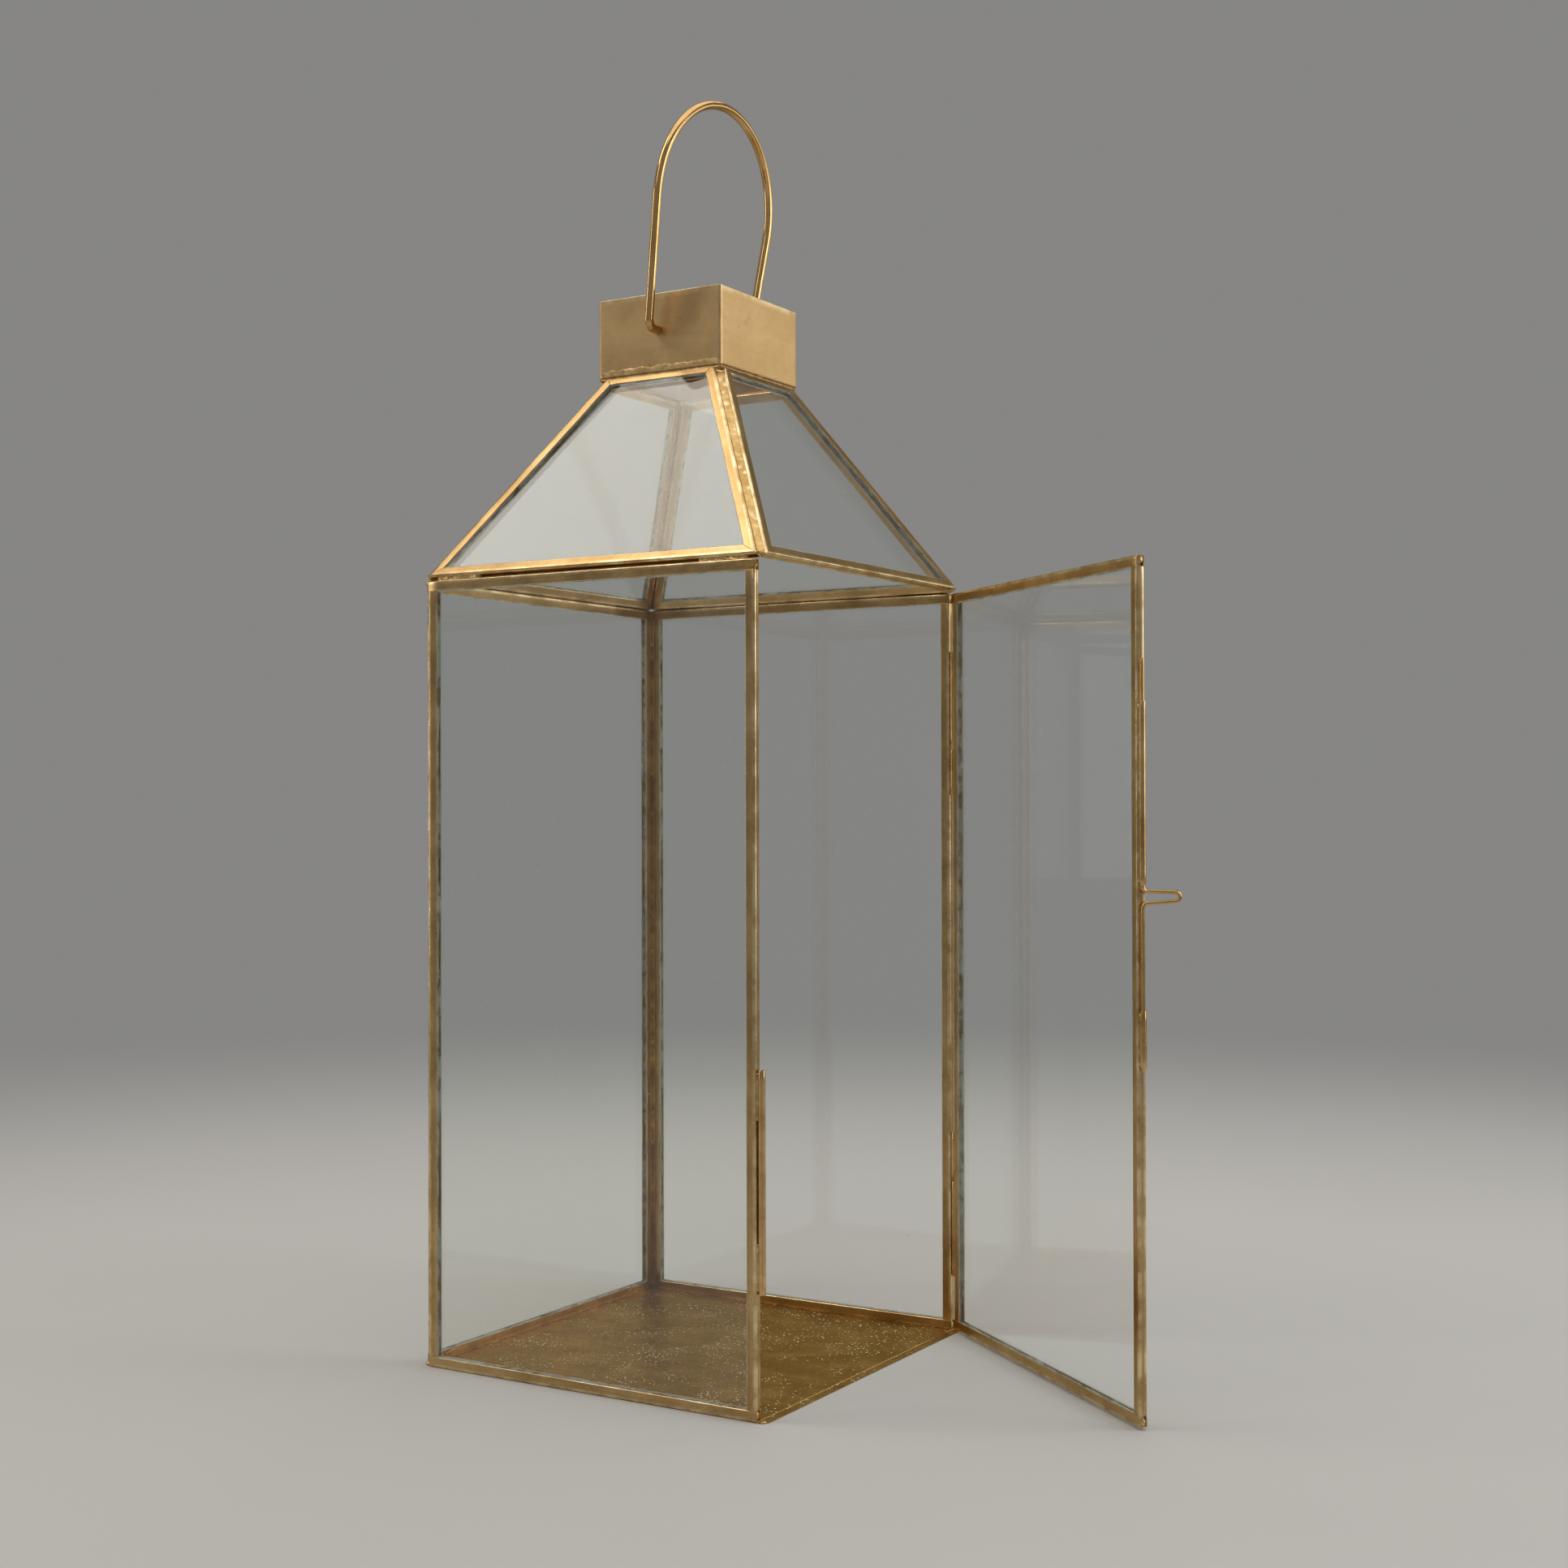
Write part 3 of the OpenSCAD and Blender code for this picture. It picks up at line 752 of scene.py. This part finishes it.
def channel_section():
    """Middle line of the folded sheet, as rows of depth, level, normal, thickness and wear number;
    that number on the lips and folds is rubbed brass and also a painted highlight along those edges.
    """
    fold_r = 0.55 * MM
    lip = 0.2 * MM
    corner = SHEET / 2 + fold_r
    rows = []
    # A wear number of 1 on the lip and the folds: rubbing, and a painted highlight along these edges
    for depth, thin, wear_and_highlight in (
        (CHAN_D, 0.5, 1.0), (CHAN_D - lip, 1.0, 0.5), (CHAN_D - 3 * lip, 1.0, 0.0),
        (CHAN_D * 0.62, 1.0, 0.0), (CHAN_D * 0.42, 1.0, 0.0),
    ):
        rows.append((depth, -SHEET / 2, 0, 1, SHEET * thin, wear_and_highlight))
    for step in range(5):
        angle = math.pi / 2 + step / 4 * math.pi / 2
        rows.append((
            corner + fold_r * math.cos(angle), -corner + fold_r * math.sin(angle),
            math.cos(angle), math.sin(angle), SHEET, 1.0,
        ))
    rows.append((SHEET / 2, -CHAN_T / 2, -1, 0, SHEET, 0.0))
    mirrored = [(d, -CHAN_T - w, nd, -nw, t, wear_and_highlight) for d, w, nd, nw, t, wear_and_highlight in reversed(rows[:-1])]
    return rows + mirrored


SECTION = channel_section()


def folded_channel(name, place, start, end, cut_start, cut_end, body, seed):
    """A folded channel from start to end, both on the panel's outer edge, in the panel's plane.

    cut_start and cut_end are how far the end goes in along the channel for each unit of depth.
    The sheet bows and sways a little, its lips are pinched, and its face has two soft dents.
    """
    start, end = Vector(start), Vector(end)
    length = (end - start).length
    along = (end - start) / length
    depth_way = Vector((-along.y, along.x))
    gap = 0.06 * MM
    chamfer = 0.16 * MM
    count = max(4, int(length / (7 * MM)))
    shares = [0, chamfer / length] + [i / count for i in range(1, count)] + [1 - chamfer / length, 1]
    dent_deep = 0.16 * MM
    dents = [(abs(wander(k * 31, seed, 7)) * length * 1.6, (2 + 3 * k) * MM) for k in range(2)]
    rings = []
    for share in shares:
        station = share * length
        inset = 0.10 * MM * (0.5 + 0.5 * wander(station, seed, 45 * MM))
        sway = 0.09 * MM * (0.5 + 0.5 * wander(station, seed + 5, 60 * MM))
        pinch = (0.10 + 0.07 * wander(station, seed + 9, 22 * MM)) * MM
        dent = sum(dent_deep * math.exp(-(((station - at) / wide) ** 2)) for at, wide in dents)
        edge = 0.09 * MM if share in (0, 1) else 0
        outer, inner = [], []
        for depth, level, out_d, out_w, thick, _ in SECTION:
            squeeze = 1 if level < -CHAN_T / 2 else -1
            shift = squeeze * (sway / 2 + pinch * (depth / CHAN_D) ** 2)
            if level > -CHAN_T / 2:
                shift -= dent * (depth / CHAN_D)
            for side, line in ((1, outer), (-1, inner)):
                reach = side * thick / 2 - side * edge
                d = depth + inset + out_d * reach
                w = level + shift + out_w * reach
                a = gap + d * cut_start
                b = length - gap - d * cut_end
                s = a + (b - a) * share
                flat = start + along * s + depth_way * d
                line.append(place @ Vector((flat.x, flat.y, min(w, -0.02 * MM))))
        rings.append(outer + inner[::-1])
    wear_and_highlight = [row[5] for row in SECTION]
    piece = loft(name, rings, "sheet", wear_and_highlight + [0.0] * len(wear_and_highlight))
    finish_piece(piece, body, CHANNEL, [name])


def upright_frame(names, place, left, bottom, right, top, body, seed):
    """Rails across the whole width, with stiles butted between them."""
    ends = [
        ((left, bottom), (right, bottom)),
        ((right, bottom + CHAN_D), (right, top - CHAN_D)),
        ((right, top), (left, top)),
        ((left, top - CHAN_D), (left, bottom + CHAN_D)),
    ]
    for i, (start, end) in enumerate(ends):
        folded_channel(names[i], place, start, end, 0, 0, body, seed + i * 13)


def mitred_frame(names, place, outline, body, seed):
    """Channels round a closed outline, each cut at half of the corner's angle."""
    count = len(outline)
    cuts = []
    for i in range(count):
        here = Vector(outline[i])
        back = Vector(outline[i - 1]) - here
        ahead = Vector(outline[(i + 1) % count]) - here
        cuts.append(1 / math.tan(back.angle(ahead) / 2))
    for i in range(count):
        after = (i + 1) % count
        start, end = outline[i], outline[after]
        folded_channel(names[i], place, start, end, cuts[i], cuts[after], body, seed + i * 13)


# ---- Glass ----


def inset_outline(outline, distance):
    """A convex anticlockwise outline, moved inwards by a distance on every side."""
    count = len(outline)
    result = []
    for i in range(count):
        here = Vector(outline[i])
        back = (here - Vector(outline[i - 1])).normalized()
        ahead = (Vector(outline[(i + 1) % count]) - here).normalized()
        inwards = (ahead - back).normalized()
        result.append(here + inwards * (distance / math.cos(back.angle(ahead) / 2)))
    return result


def pane(name, place, outline, body):
    """A glass pane with ground edges; its rim number runs from 1 at the edge to 0 inside."""
    front = -(CHAN_T - GLASS_T) / 2
    back = front - GLASS_T
    arris = 0.3 * MM
    lip = CHAN_D - SHEET - PLAY
    clean = lip + 2.0 * MM
    steps = [
        (clean, front, 0), (lip, front, 1), (arris, front, 1), (0, front - arris, 1),
        (0, back + arris, 1), (arris, back, 1), (lip, back, 1), (clean, back, 0),
    ]
    rings = []
    rim = []
    for distance, level, amount in steps:
        corners = inset_outline(outline, SHEET + PLAY + distance)
        rings.append([place @ Vector((c.x, c.y, level)) for c in corners])
        rim += [amount] * len(corners)
    piece = loft(name, rings, "whole", None, math.radians(20))
    set_numbers(piece.data, "rim", rim)
    finish_piece(piece, body, GLASS, [name])


# ---- Panels ----

EDGES = ("bottom_rail", "right_stile", "top_rail", "left_stile")
ROOF_EDGES = ("eave", "right_hip", "top_channel", "left_hip")
SIDES = ("front", "right", "back", "left")


def make_wall(turn):
    """A wall: its pane and its four channels. The left and right walls stop at the door's posts."""
    side = SIDES[turn]
    left = {"right": POST_FACE, "back": -END_Y, "left": -END_Y}[side]
    right = {"right": END_Y, "back": END_Y, "left": -POST_FACE}[side]
    place = panel(turn, HALF, 0)
    names = [f"{side}_{edge}" for edge in EDGES]
    upright_frame(names, place, left, 0, right, BODY_H, "lantern_body", 40 * turn)
    outline = [(left, 0), (right, 0), (right, BODY_H), (left, BODY_H)]
    pane(f"{side}_glass", place, outline, "lantern_body")


def make_roof_side(turn):
    """One side of the roof: its pane and its four mitred channels."""
    side = SIDES[turn]
    place = roof_panel(turn)
    outline = [(-ROOF_LOW, 0), (ROOF_LOW, 0), (ROOF_HIGH, ROOF_SLANT), (-ROOF_HIGH, ROOF_SLANT)]
    names = [f"roof_{side}_{edge}" for edge in ROOF_EDGES]
    mitred_frame(names, place, outline, "lantern_body", 300 + 40 * turn)
    pane(f"roof_{side}_glass", place, outline, "lantern_body")


def make_door_panel():
    """The door's pane and its four channels, where they stand open."""
    place = OPENED @ panel(0, -DOOR_FACE, 0)
    names = [f"door_{edge}" for edge in EDGES]
    upright_frame(names, place, DOOR_LEFT, DOOR_LOW, DOOR_RIGHT, DOOR_TOP, "door", 200)
    outline = [
        (DOOR_LEFT, DOOR_LOW), (DOOR_RIGHT, DOOR_LOW), (DOOR_RIGHT, DOOR_TOP), (DOOR_LEFT, DOOR_TOP)
    ]
    pane("door_glass", place, outline, "door")


# ---- Base plate and neck ----


def make_base_plate():
    """The sheet-brass floor: filed edges, slightly bowed, with its ledge under the door."""
    corner = 3 * MM
    filing = 0.2 * MM
    step = 8 * MM
    ledge_drop = 0.28 * MM
    sliver = 0.05 * MM
    stations = [
        (-HALF, HALF - corner), (-HALF + corner, HALF), (POST_FACE - 0.3 * MM, HALF),
        (POST_FACE - sliver, HALF), (POST_FACE, END_Y),
    ]
    rows = int((END_Y - POST_FACE) / step)
    stations += [(POST_FACE + (END_Y - POST_FACE) * i / rows, END_Y) for i in range(1, rows + 1)]
    columns = 26
    rings = []
    for number, (y, width) in enumerate(stations):
        top, bottom = [], []
        end_filing = filing if number in (0, len(stations) - 1) else 0
        drop = ledge_drop if number < 3 else 0
        for j in range(columns + 1):
            x = -width + 2 * width * j / columns
            trim = max(end_filing, filing if j in (0, columns) else 0)
            sag = 0.1 * MM * (0.5 + 0.5 * noise.noise(Vector((x * 14, y * 14, 3.1))))
            top.append((x, y, PLATE_T - sag - drop - trim * (0.4 if drop else 0.8)))
            bottom.append((x, y, max(0.0, sag * 0.4) + trim * 0.6))
        rings.append(top + bottom[::-1])
    piece = loft("base_plate", rings, "sheet", None, math.radians(25))
    finish_piece(piece, "lantern_body", FLOOR_BRASS, ["base_plate"])


def neck_outline():
    """Rows of point, outward normal and fold radius round the neck, from its seam and back."""
    radius = 1.3 * MM
    flat = NECK_HALF - NECK_WALL / 2 - radius
    corners = [(1, 1), (-1, 1), (-1, -1), (1, -1)]
    rows = []
    for number, (sx, sy) in enumerate(corners):
        first = math.radians(90 * number if number else 45)
        last = math.radians(90 * number + 90)
        for step in range(7):
            angle = first + (last - first) * step / 6
            rows.append((sx * flat, sy * flat, math.cos(angle), math.sin(angle), radius))
        next_x, next_y = corners[(number + 1) % 4]
        for step in range(1, 24):
            share = step / 24
            x = (sx + (next_x - sx) * share) * flat
            y = (sy + (next_y - sy) * share) * flat
            rows.append((x, y, math.cos(last), math.sin(last), radius))
    for step in range(5):
        angle = math.radians(360 + 43 * step / 4)
        rows.append((flat, flat, math.cos(angle), math.sin(angle), radius))
    return rows


def drilled(piece, radius):
    """A copy of the neck's mesh with the handle's two holes in it."""
    mesh = bpy.data.meshes.new("drill")
    work = bmesh.new()
    turn = Matrix.Translation((0, 0, PIVOT_Z)) @ Matrix.Rotation(math.pi / 2, 4, "Y")
    bmesh.ops.create_cone(
        work, cap_ends=True, segments=40, radius1=radius, radius2=radius,
        depth=3 * NECK_HALF, matrix=turn,
    )
    work.to_mesh(mesh)
    work.free()
    drill = add_object("drill", mesh)
    cut = piece.modifiers.new("holes", "BOOLEAN")
    cut.operation = "DIFFERENCE"
    cut.solver = "EXACT"
    cut.object = drill
    graph = bpy.context.evaluated_depsgraph_get()
    result = bpy.data.meshes.new_from_object(piece.evaluated_get(graph))
    piece.modifiers.clear()
    bpy.data.objects.remove(drill)
    # Cutting shuffles the points, so their old numbers go and make_neck works out new ones
    for name in ("grain", "wear_and_highlight", "heat"):
        if name in result.attributes:
            result.attributes.remove(result.attributes[name])
    return result


def make_neck():
    """The square collar: one folded sheet with a soldered seam, filed lips and two holes."""
    height = NECK_TOP - NECK_LOW
    lip = 0.25 * MM
    levels = [0, lip] + [height * k / 12 for k in range(1, 12)] + [height - lip, height]
    rings = []
    for level in levels:
        edge = 0.18 * MM if level in (0, height) else 0
        middle = math.sin(math.pi * level / height)
        outer, inner = [], []
        for x, y, nx, ny, radius in neck_outline():
            hollow = 0.16 * MM * middle * (0.5 + 0.5 * noise.noise(Vector((x, y, level)) * 45))
            for side, line in ((1, outer), (-1, inner)):
                reach = radius + side * (NECK_WALL / 2 - edge) - hollow
                line.append((x + nx * reach, y + ny * reach, NECK_LOW + level))
        rings.append(outer + inner[::-1])
    piece = loft("neck", rings, "sheet")
    mesh = drilled(piece, 2.32 * MM)
    points = np.array([v.co for v in mesh.vertices])
    corner = np.minimum(np.abs(points[:, X]), np.abs(points[:, Y]))
    folds = np.clip((corner - NECK_HALF + 1.4 * MM) / MM, 0, 1)
    lips = np.clip((points[:, Z] - NECK_TOP + 1.3 * MM) / MM, 0, 1)
    grain = np.stack([points[:, X] + points[:, Y], points[:, Z], folds], axis=1)
    set_numbers(mesh, "grain", grain)
    # Wear on the neck's corner folds and lips: rubbing, and a painted highlight along these edges
    set_numbers(mesh, "wear_and_highlight", np.maximum(folds, lips))
    set_numbers(mesh, "heat", heat_of(points))
    smooth_faces(mesh)
    piece.data = mesh
    finish_piece(piece, "lantern_body", SHEET_BRASS, ["neck"])


# ---- Wires ----


def arc(centre, radius, first, last, step=5.0):
    """Points of an arc in the X-Y plane, from the angle first to last, in degrees."""
    count = max(3, int(abs(last - first) / step))
    angles = [math.radians(first + (last - first) * i / count) for i in range(count + 1)]
    return [(centre[0] + radius * math.cos(a), centre[1] + radius * math.sin(a)) for a in angles]


def dense(path, spacing):
    """A flat path with points added, so that none are further apart than spacing."""
    result = [Vector(path[0])]
    for point in path[1:]:
        gap = Vector(point) - result[-1]
        if gap.length < 1e-6:
            continue
        count = max(1, math.ceil(gap.length / spacing))
        start = result[-1]
        result += [start + gap * (i / count) for i in range(1, count + 1)]
    return result


def make_wire(name, path, radius, place, wobble, seed, sides, nicks=()):
    """A round wire along a flat path, a little uneven, with rounded ends.

    A nick is where it is along the wire, its depth as a share of the radius, and its width.
    """
    count = len(path)
    rounding = [(0.45, 0.0), (0.8, 0.09), (1.0, 0.3)]
    rings = []
    walked = 0.0
    for i, point in enumerate(path):
        before, after = path[max(i - 1, 0)], path[min(i + 1, count - 1)]
        way = (after - before).normalized()
        side = Vector((way.y, -way.x))
        if i:
            walked += (point - path[i - 1]).length
        off = side * wobble * wander(walked, seed, 34 * MM)
        lift = wobble * wander(walked, seed + 4, 28 * MM)
        size = radius * (1 + 0.012 * wander(walked, seed + 8, 9 * MM))
        dent = sum(deep * math.exp(-(((walked - at) / wide) ** 2)) for at, deep, wide in nicks)
        stages = [(1.0, 0.0)]
        if i == 0:
            stages = rounding
        if i == count - 1:
            stages = [(share, -back) for share, back in reversed(rounding)]
        for share, back in stages:
            shift = way * back * radius
            ring = []
            for k in range(sides):
                angle = 2 * math.pi * k / sides
                own = size * share * (1 - dent * max(0.0, math.cos(angle - 0.9)) ** 2)
                flat = point + off + shift + side * (own * math.cos(angle))
                ring.append(place @ Vector((flat.x, flat.y, lift + own * math.sin(angle))))
            rings.append(ring)
    return loft(name, rings, "whole", None, math.radians(50))


def make_handle():
    """The carrying wire: ends turned into the neck, legs that lean out, and a round arch."""
    wire_d = 4.4 * MM
    elbow_r = 5 * MM
    leg_half = 46 * MM
    arch_r = 51.5 * MM
    arch_up = 68 * MM
    lean = math.radians(8.4)
    elbow = Vector((leg_half - elbow_r, elbow_r))
    arch = Vector((0, arch_up))
    gap = elbow - arch
    tilt = math.degrees(-math.acos((arch_r - elbow_r) / gap.length) - math.atan2(gap.y, gap.x))
    stub = NECK_HALF - NECK_WALL - 2.6 * MM
    right = [(stub, 0)] + arc(elbow, elbow_r, -90, -tilt, 9)
    left = [(-x, y) for x, y in reversed(right)]
    path = dense(right + arc(arch, arch_r, -tilt, 180 + tilt, 2.5) + left, 2.2 * MM)
    lie = Matrix.Translation((0, 0, PIVOT_Z)) @ Matrix.Rotation(math.pi / 2 + lean, 4, "X")
    nicks = [(52 * MM, 0.1, 1.2 * MM), (171 * MM, 0.07, 2 * MM)]
    wobble = 0.03 * MM
    piece = make_wire("handle", path, wire_d / 2 - wobble, lie, wobble, 3, 24, nicks)
    finish_piece(piece, "handle", WIRE, ["handle"])


def make_bolt():
    """The latch: one wire, bent out into a hairpin that narrows to a round tip."""
    wire_r = 0.9 * MM
    reach = 19.96 * MM - wire_r
    lower_z, upper_z = 234.0 * MM, 239.6 * MM
    middle = (lower_z + upper_z) / 2
    root, tip = (upper_z - lower_z) / 2 + 0.1 * MM, 2.0 * MM
    elbow = 1.9 * MM
    slope = math.degrees(math.atan2(root - tip, reach - tip - elbow))
    low_end, high_end = low("latch_bolt", Z), high("latch_bolt", Z)
    upper = [(0, high_end - middle)]
    upper += arc((elbow, root + elbow - 0.15 * MM), elbow, 180, 270 - slope, 10)
    upper += arc((reach - tip, 0), tip, 90 - slope, 0, 12)
    lower = [(x, -y) for x, y in reversed(upper[1:-1])] + [(0, low_end - middle)]
    path = dense(upper + lower, 3 * MM)
    lie = (
        OPENED
        @ Matrix.Translation((BOLT_X, BOLT_Y, middle))
        @ Matrix.Rotation(-math.pi / 2, 4, "Z")
        @ Matrix.Rotation(math.pi / 2, 4, "X")
    )
    piece = make_wire("latch_bolt", path, wire_r, lie, 0.02 * MM, 17, 16)
    finish_piece(piece, "latch_bolt", WIRE, ["latch_bolt"])


# ---- Tubes and pins ----


def rolled_tube(node, x, y, outside, bore, slit_angle, place, body, seed):
    """A tube rolled from sheet: a fine open seam, deburred ends, not quite straight."""
    bottom, top = low(node, Z), high(node, Z)
    length = top - bottom
    burr = 0.14 * MM
    count = max(4, int(length / (4 * MM)))
    levels = [0, burr] + [length * i / count for i in range(1, count)] + [length - burr, length]
    half_slit = 0.05
    steps = 26
    rings = []
    for level in levels:
        edge = burr * 0.7 if level in (0, length) else 0
        outer, inner = [], []
        for j in range(steps + 1):
            turn = half_slit + (2 * math.pi - 2 * half_slit) * j / steps
            angle = slit_angle + turn
            lap = math.exp(-((turn / 0.2) ** 2)) + math.exp(-(((2 * math.pi - turn) / 0.2) ** 2))
            dimple = 0.03 * MM * (1 + wander(level + j * MM, seed, 12 * MM))
            radius = outside / 2 - dimple - lap * 0.1 * MM
            for reach, line in ((radius - edge, outer), (bore / 2 + edge, inner)):
                point = (x + reach * math.cos(angle), y + reach * math.sin(angle), bottom + level)
                line.append(place @ Vector(point))
        rings.append(outer + inner[::-1])
    wear_and_highlight = [0.35] * (steps + 1) + [0.0] * (steps + 1)
    piece = loft(node, rings, "sheet", wear_and_highlight, math.radians(40))
    finish_piece(piece, body, TUBE, [node])


def pin(node, x, y, radius, body):
    """A hinge pin with slightly rounded ends."""
    bottom, top = low(node, Z), high(node, Z)
    steps = [(bottom, 0.6), (bottom + 0.15 * MM, 0.9), (bottom + 0.4 * MM, 1.0)]
    count = 10
    steps += [(bottom + (top - bottom) * i / count, 1.0 - 0.01 * (i % 2)) for i in range(1, count)]
    steps += [(top - 0.4 * MM, 1.0), (top - 0.15 * MM, 0.9), (top, 0.6)]
    angles = [2 * math.pi * k / 18 for k in range(18)]
    rings = []
    for z, share in steps:
        own = radius * share
        rings.append([(x + own * math.cos(a), y + own * math.sin(a), z) for a in angles])
    piece = loft(node, rings, "whole", None, math.radians(40))
    finish_piece(piece, body, WIRE, [node])


def make_tubes():
    """The hinge tubes and their pins, the bolt's guides and its keeper."""
    bore = 2.0 * MM
    rear = math.radians(90)
    for seed, node in enumerate(("upper_post_knuckle", "lower_post_knuckle")):
        rolled_tube(node, HINGE_X, HINGE_Y, KNUCKLE_D, bore, rear, STILL, "lantern_body", seed)
    for seed, node in enumerate(("upper_door_knuckle", "lower_door_knuckle")):
        rolled_tube(node, HINGE_X, HINGE_Y, KNUCKLE_D, bore, math.pi, OPENED, "door", seed + 5)
    for node in ("upper_hinge_pin", "lower_hinge_pin"):
        pin(node, HINGE_X, HINGE_Y, bore / 2 - 0.05 * MM, "lantern_body")
    for seed, node in enumerate(("upper_bolt_guide", "lower_bolt_guide")):
        rolled_tube(node, BOLT_X, BOLT_Y, GUIDE_D, bore, 0.0, OPENED, "door", seed + 9)
    rolled_tube("keeper_tube", BOLT_X, BOLT_Y, KEEPER_D, 2.4 * MM, rear, STILL, "lantern_body", 13)


# ---- Camera, floor and light ----


def make_camera():
    """The viewing angle of the reference: from the front left, near the middle's height."""
    heading, pitch, roll = math.radians(-59.0), math.radians(0.484), math.radians(-0.134)
    place = (-0.9156, -0.6007, 0.2796)
    data = bpy.data.cameras.new("camera")
    data.sensor_width = 36
    data.lens = 48.85
    camera = add_object("camera", data)
    level = Vector((math.cos(heading), math.sin(heading), 0))
    forward = Vector((-level.y * math.cos(pitch), level.x * math.cos(pitch), math.sin(pitch)))
    upward = level.cross(forward)
    right = level * math.cos(roll) + upward * math.sin(roll)
    above = upward * math.cos(roll) - level * math.sin(roll)
    turn = Matrix((right, above, -forward)).transposed()
    camera.matrix_world = Matrix.Translation(place) @ turn.to_4x4()
    bpy.context.scene.camera = camera


def area_light(name, way, distance, width, height, power, tone):
    """A soft box that looks at the lantern's middle from a direction."""
    data = bpy.data.lights.new(name, "AREA")
    data.shape = "RECTANGLE"
    data.size = width
    data.size_y = height
    data.energy = power
    data.color = tone
    light = add_object(name, data)
    way = Vector(way).normalized()
    middle = Vector((0, 0, 0.3))
    turn = way.to_track_quat("Z", "Y").to_matrix().to_4x4()
    light.matrix_world = Matrix.Translation(middle + way * distance) @ turn


WHITE = (1.0, 1.0, 1.0)
WARM = (1.0, 0.98, 0.95)
# Each light's name, direction, distance, width, height, power and tone
LIGHTS = (
    ("roof_box", (-0.389, 0.479, 0.788), 1.93, 0.75, 0.7, 5.8, (1.0, 0.92, 0.82)),
    ("top_box", (0.10, -0.05, 1.0), 1.9, 2.4, 2.4, 21, WARM),
    ("front_right_box", (0.84, -0.52, 0.33), 1.7, 0.85, 0.55, 1.5, WHITE),
    ("front_box", (0.34, -0.94, 0.25), 2.0, 1.0, 1.3, 11, (1.0, 0.97, 0.93)),
    ("left_box", (-0.80, 0.20, 0.55), 1.8, 0.35, 0.6, 1.0, WARM),
    ("rear_left_strip", (-0.47, 0.88, 0.15), 1.9, 0.25, 1.1, 3.5, WARM),
)


def make_stage():
    """A wide pale floor, a pale surround and six soft boxes."""
    work = bmesh.new()
    bmesh.ops.create_circle(work, cap_ends=True, segments=96, radius=14)
    mesh = bpy.data.meshes.new("floor")
    work.to_mesh(mesh)
    work.free()
    mesh.materials.append(stage_floor("floor_pale"))
    floor = add_object("floor", mesh)
    world = bpy.data.worlds.new("surround")
    world.use_nodes = True
    back = world.node_tree.nodes["Background"]
    back.inputs["Color"].default_value = SURROUND
    back.inputs["Strength"].default_value = SURROUND_LIGHT
    bpy.context.scene.world = world
    for light in LIGHTS:
        area_light(*light)
    bpy.context.scene.view_settings.view_transform = "Standard"


# ---- The lantern ----

list_corner_solder()
list_hip_solder()
list_eave_solder()
list_neck_solder()
list_tube_solder()
list_frame_lumps()
list_roof_lumps()
list_door_lumps()
for wall in (1, 2, 3):
    make_wall(wall)
for roof_side in range(4):
    make_roof_side(roof_side)
make_door_panel()
make_base_plate()
make_neck()
make_handle()
make_bolt()
make_tubes()
for solder_node in SOLDER_LOOKS:
    make_solder(solder_node, "door" if solder_node == "door_solder" else "lantern_body")
make_camera()
make_stage()
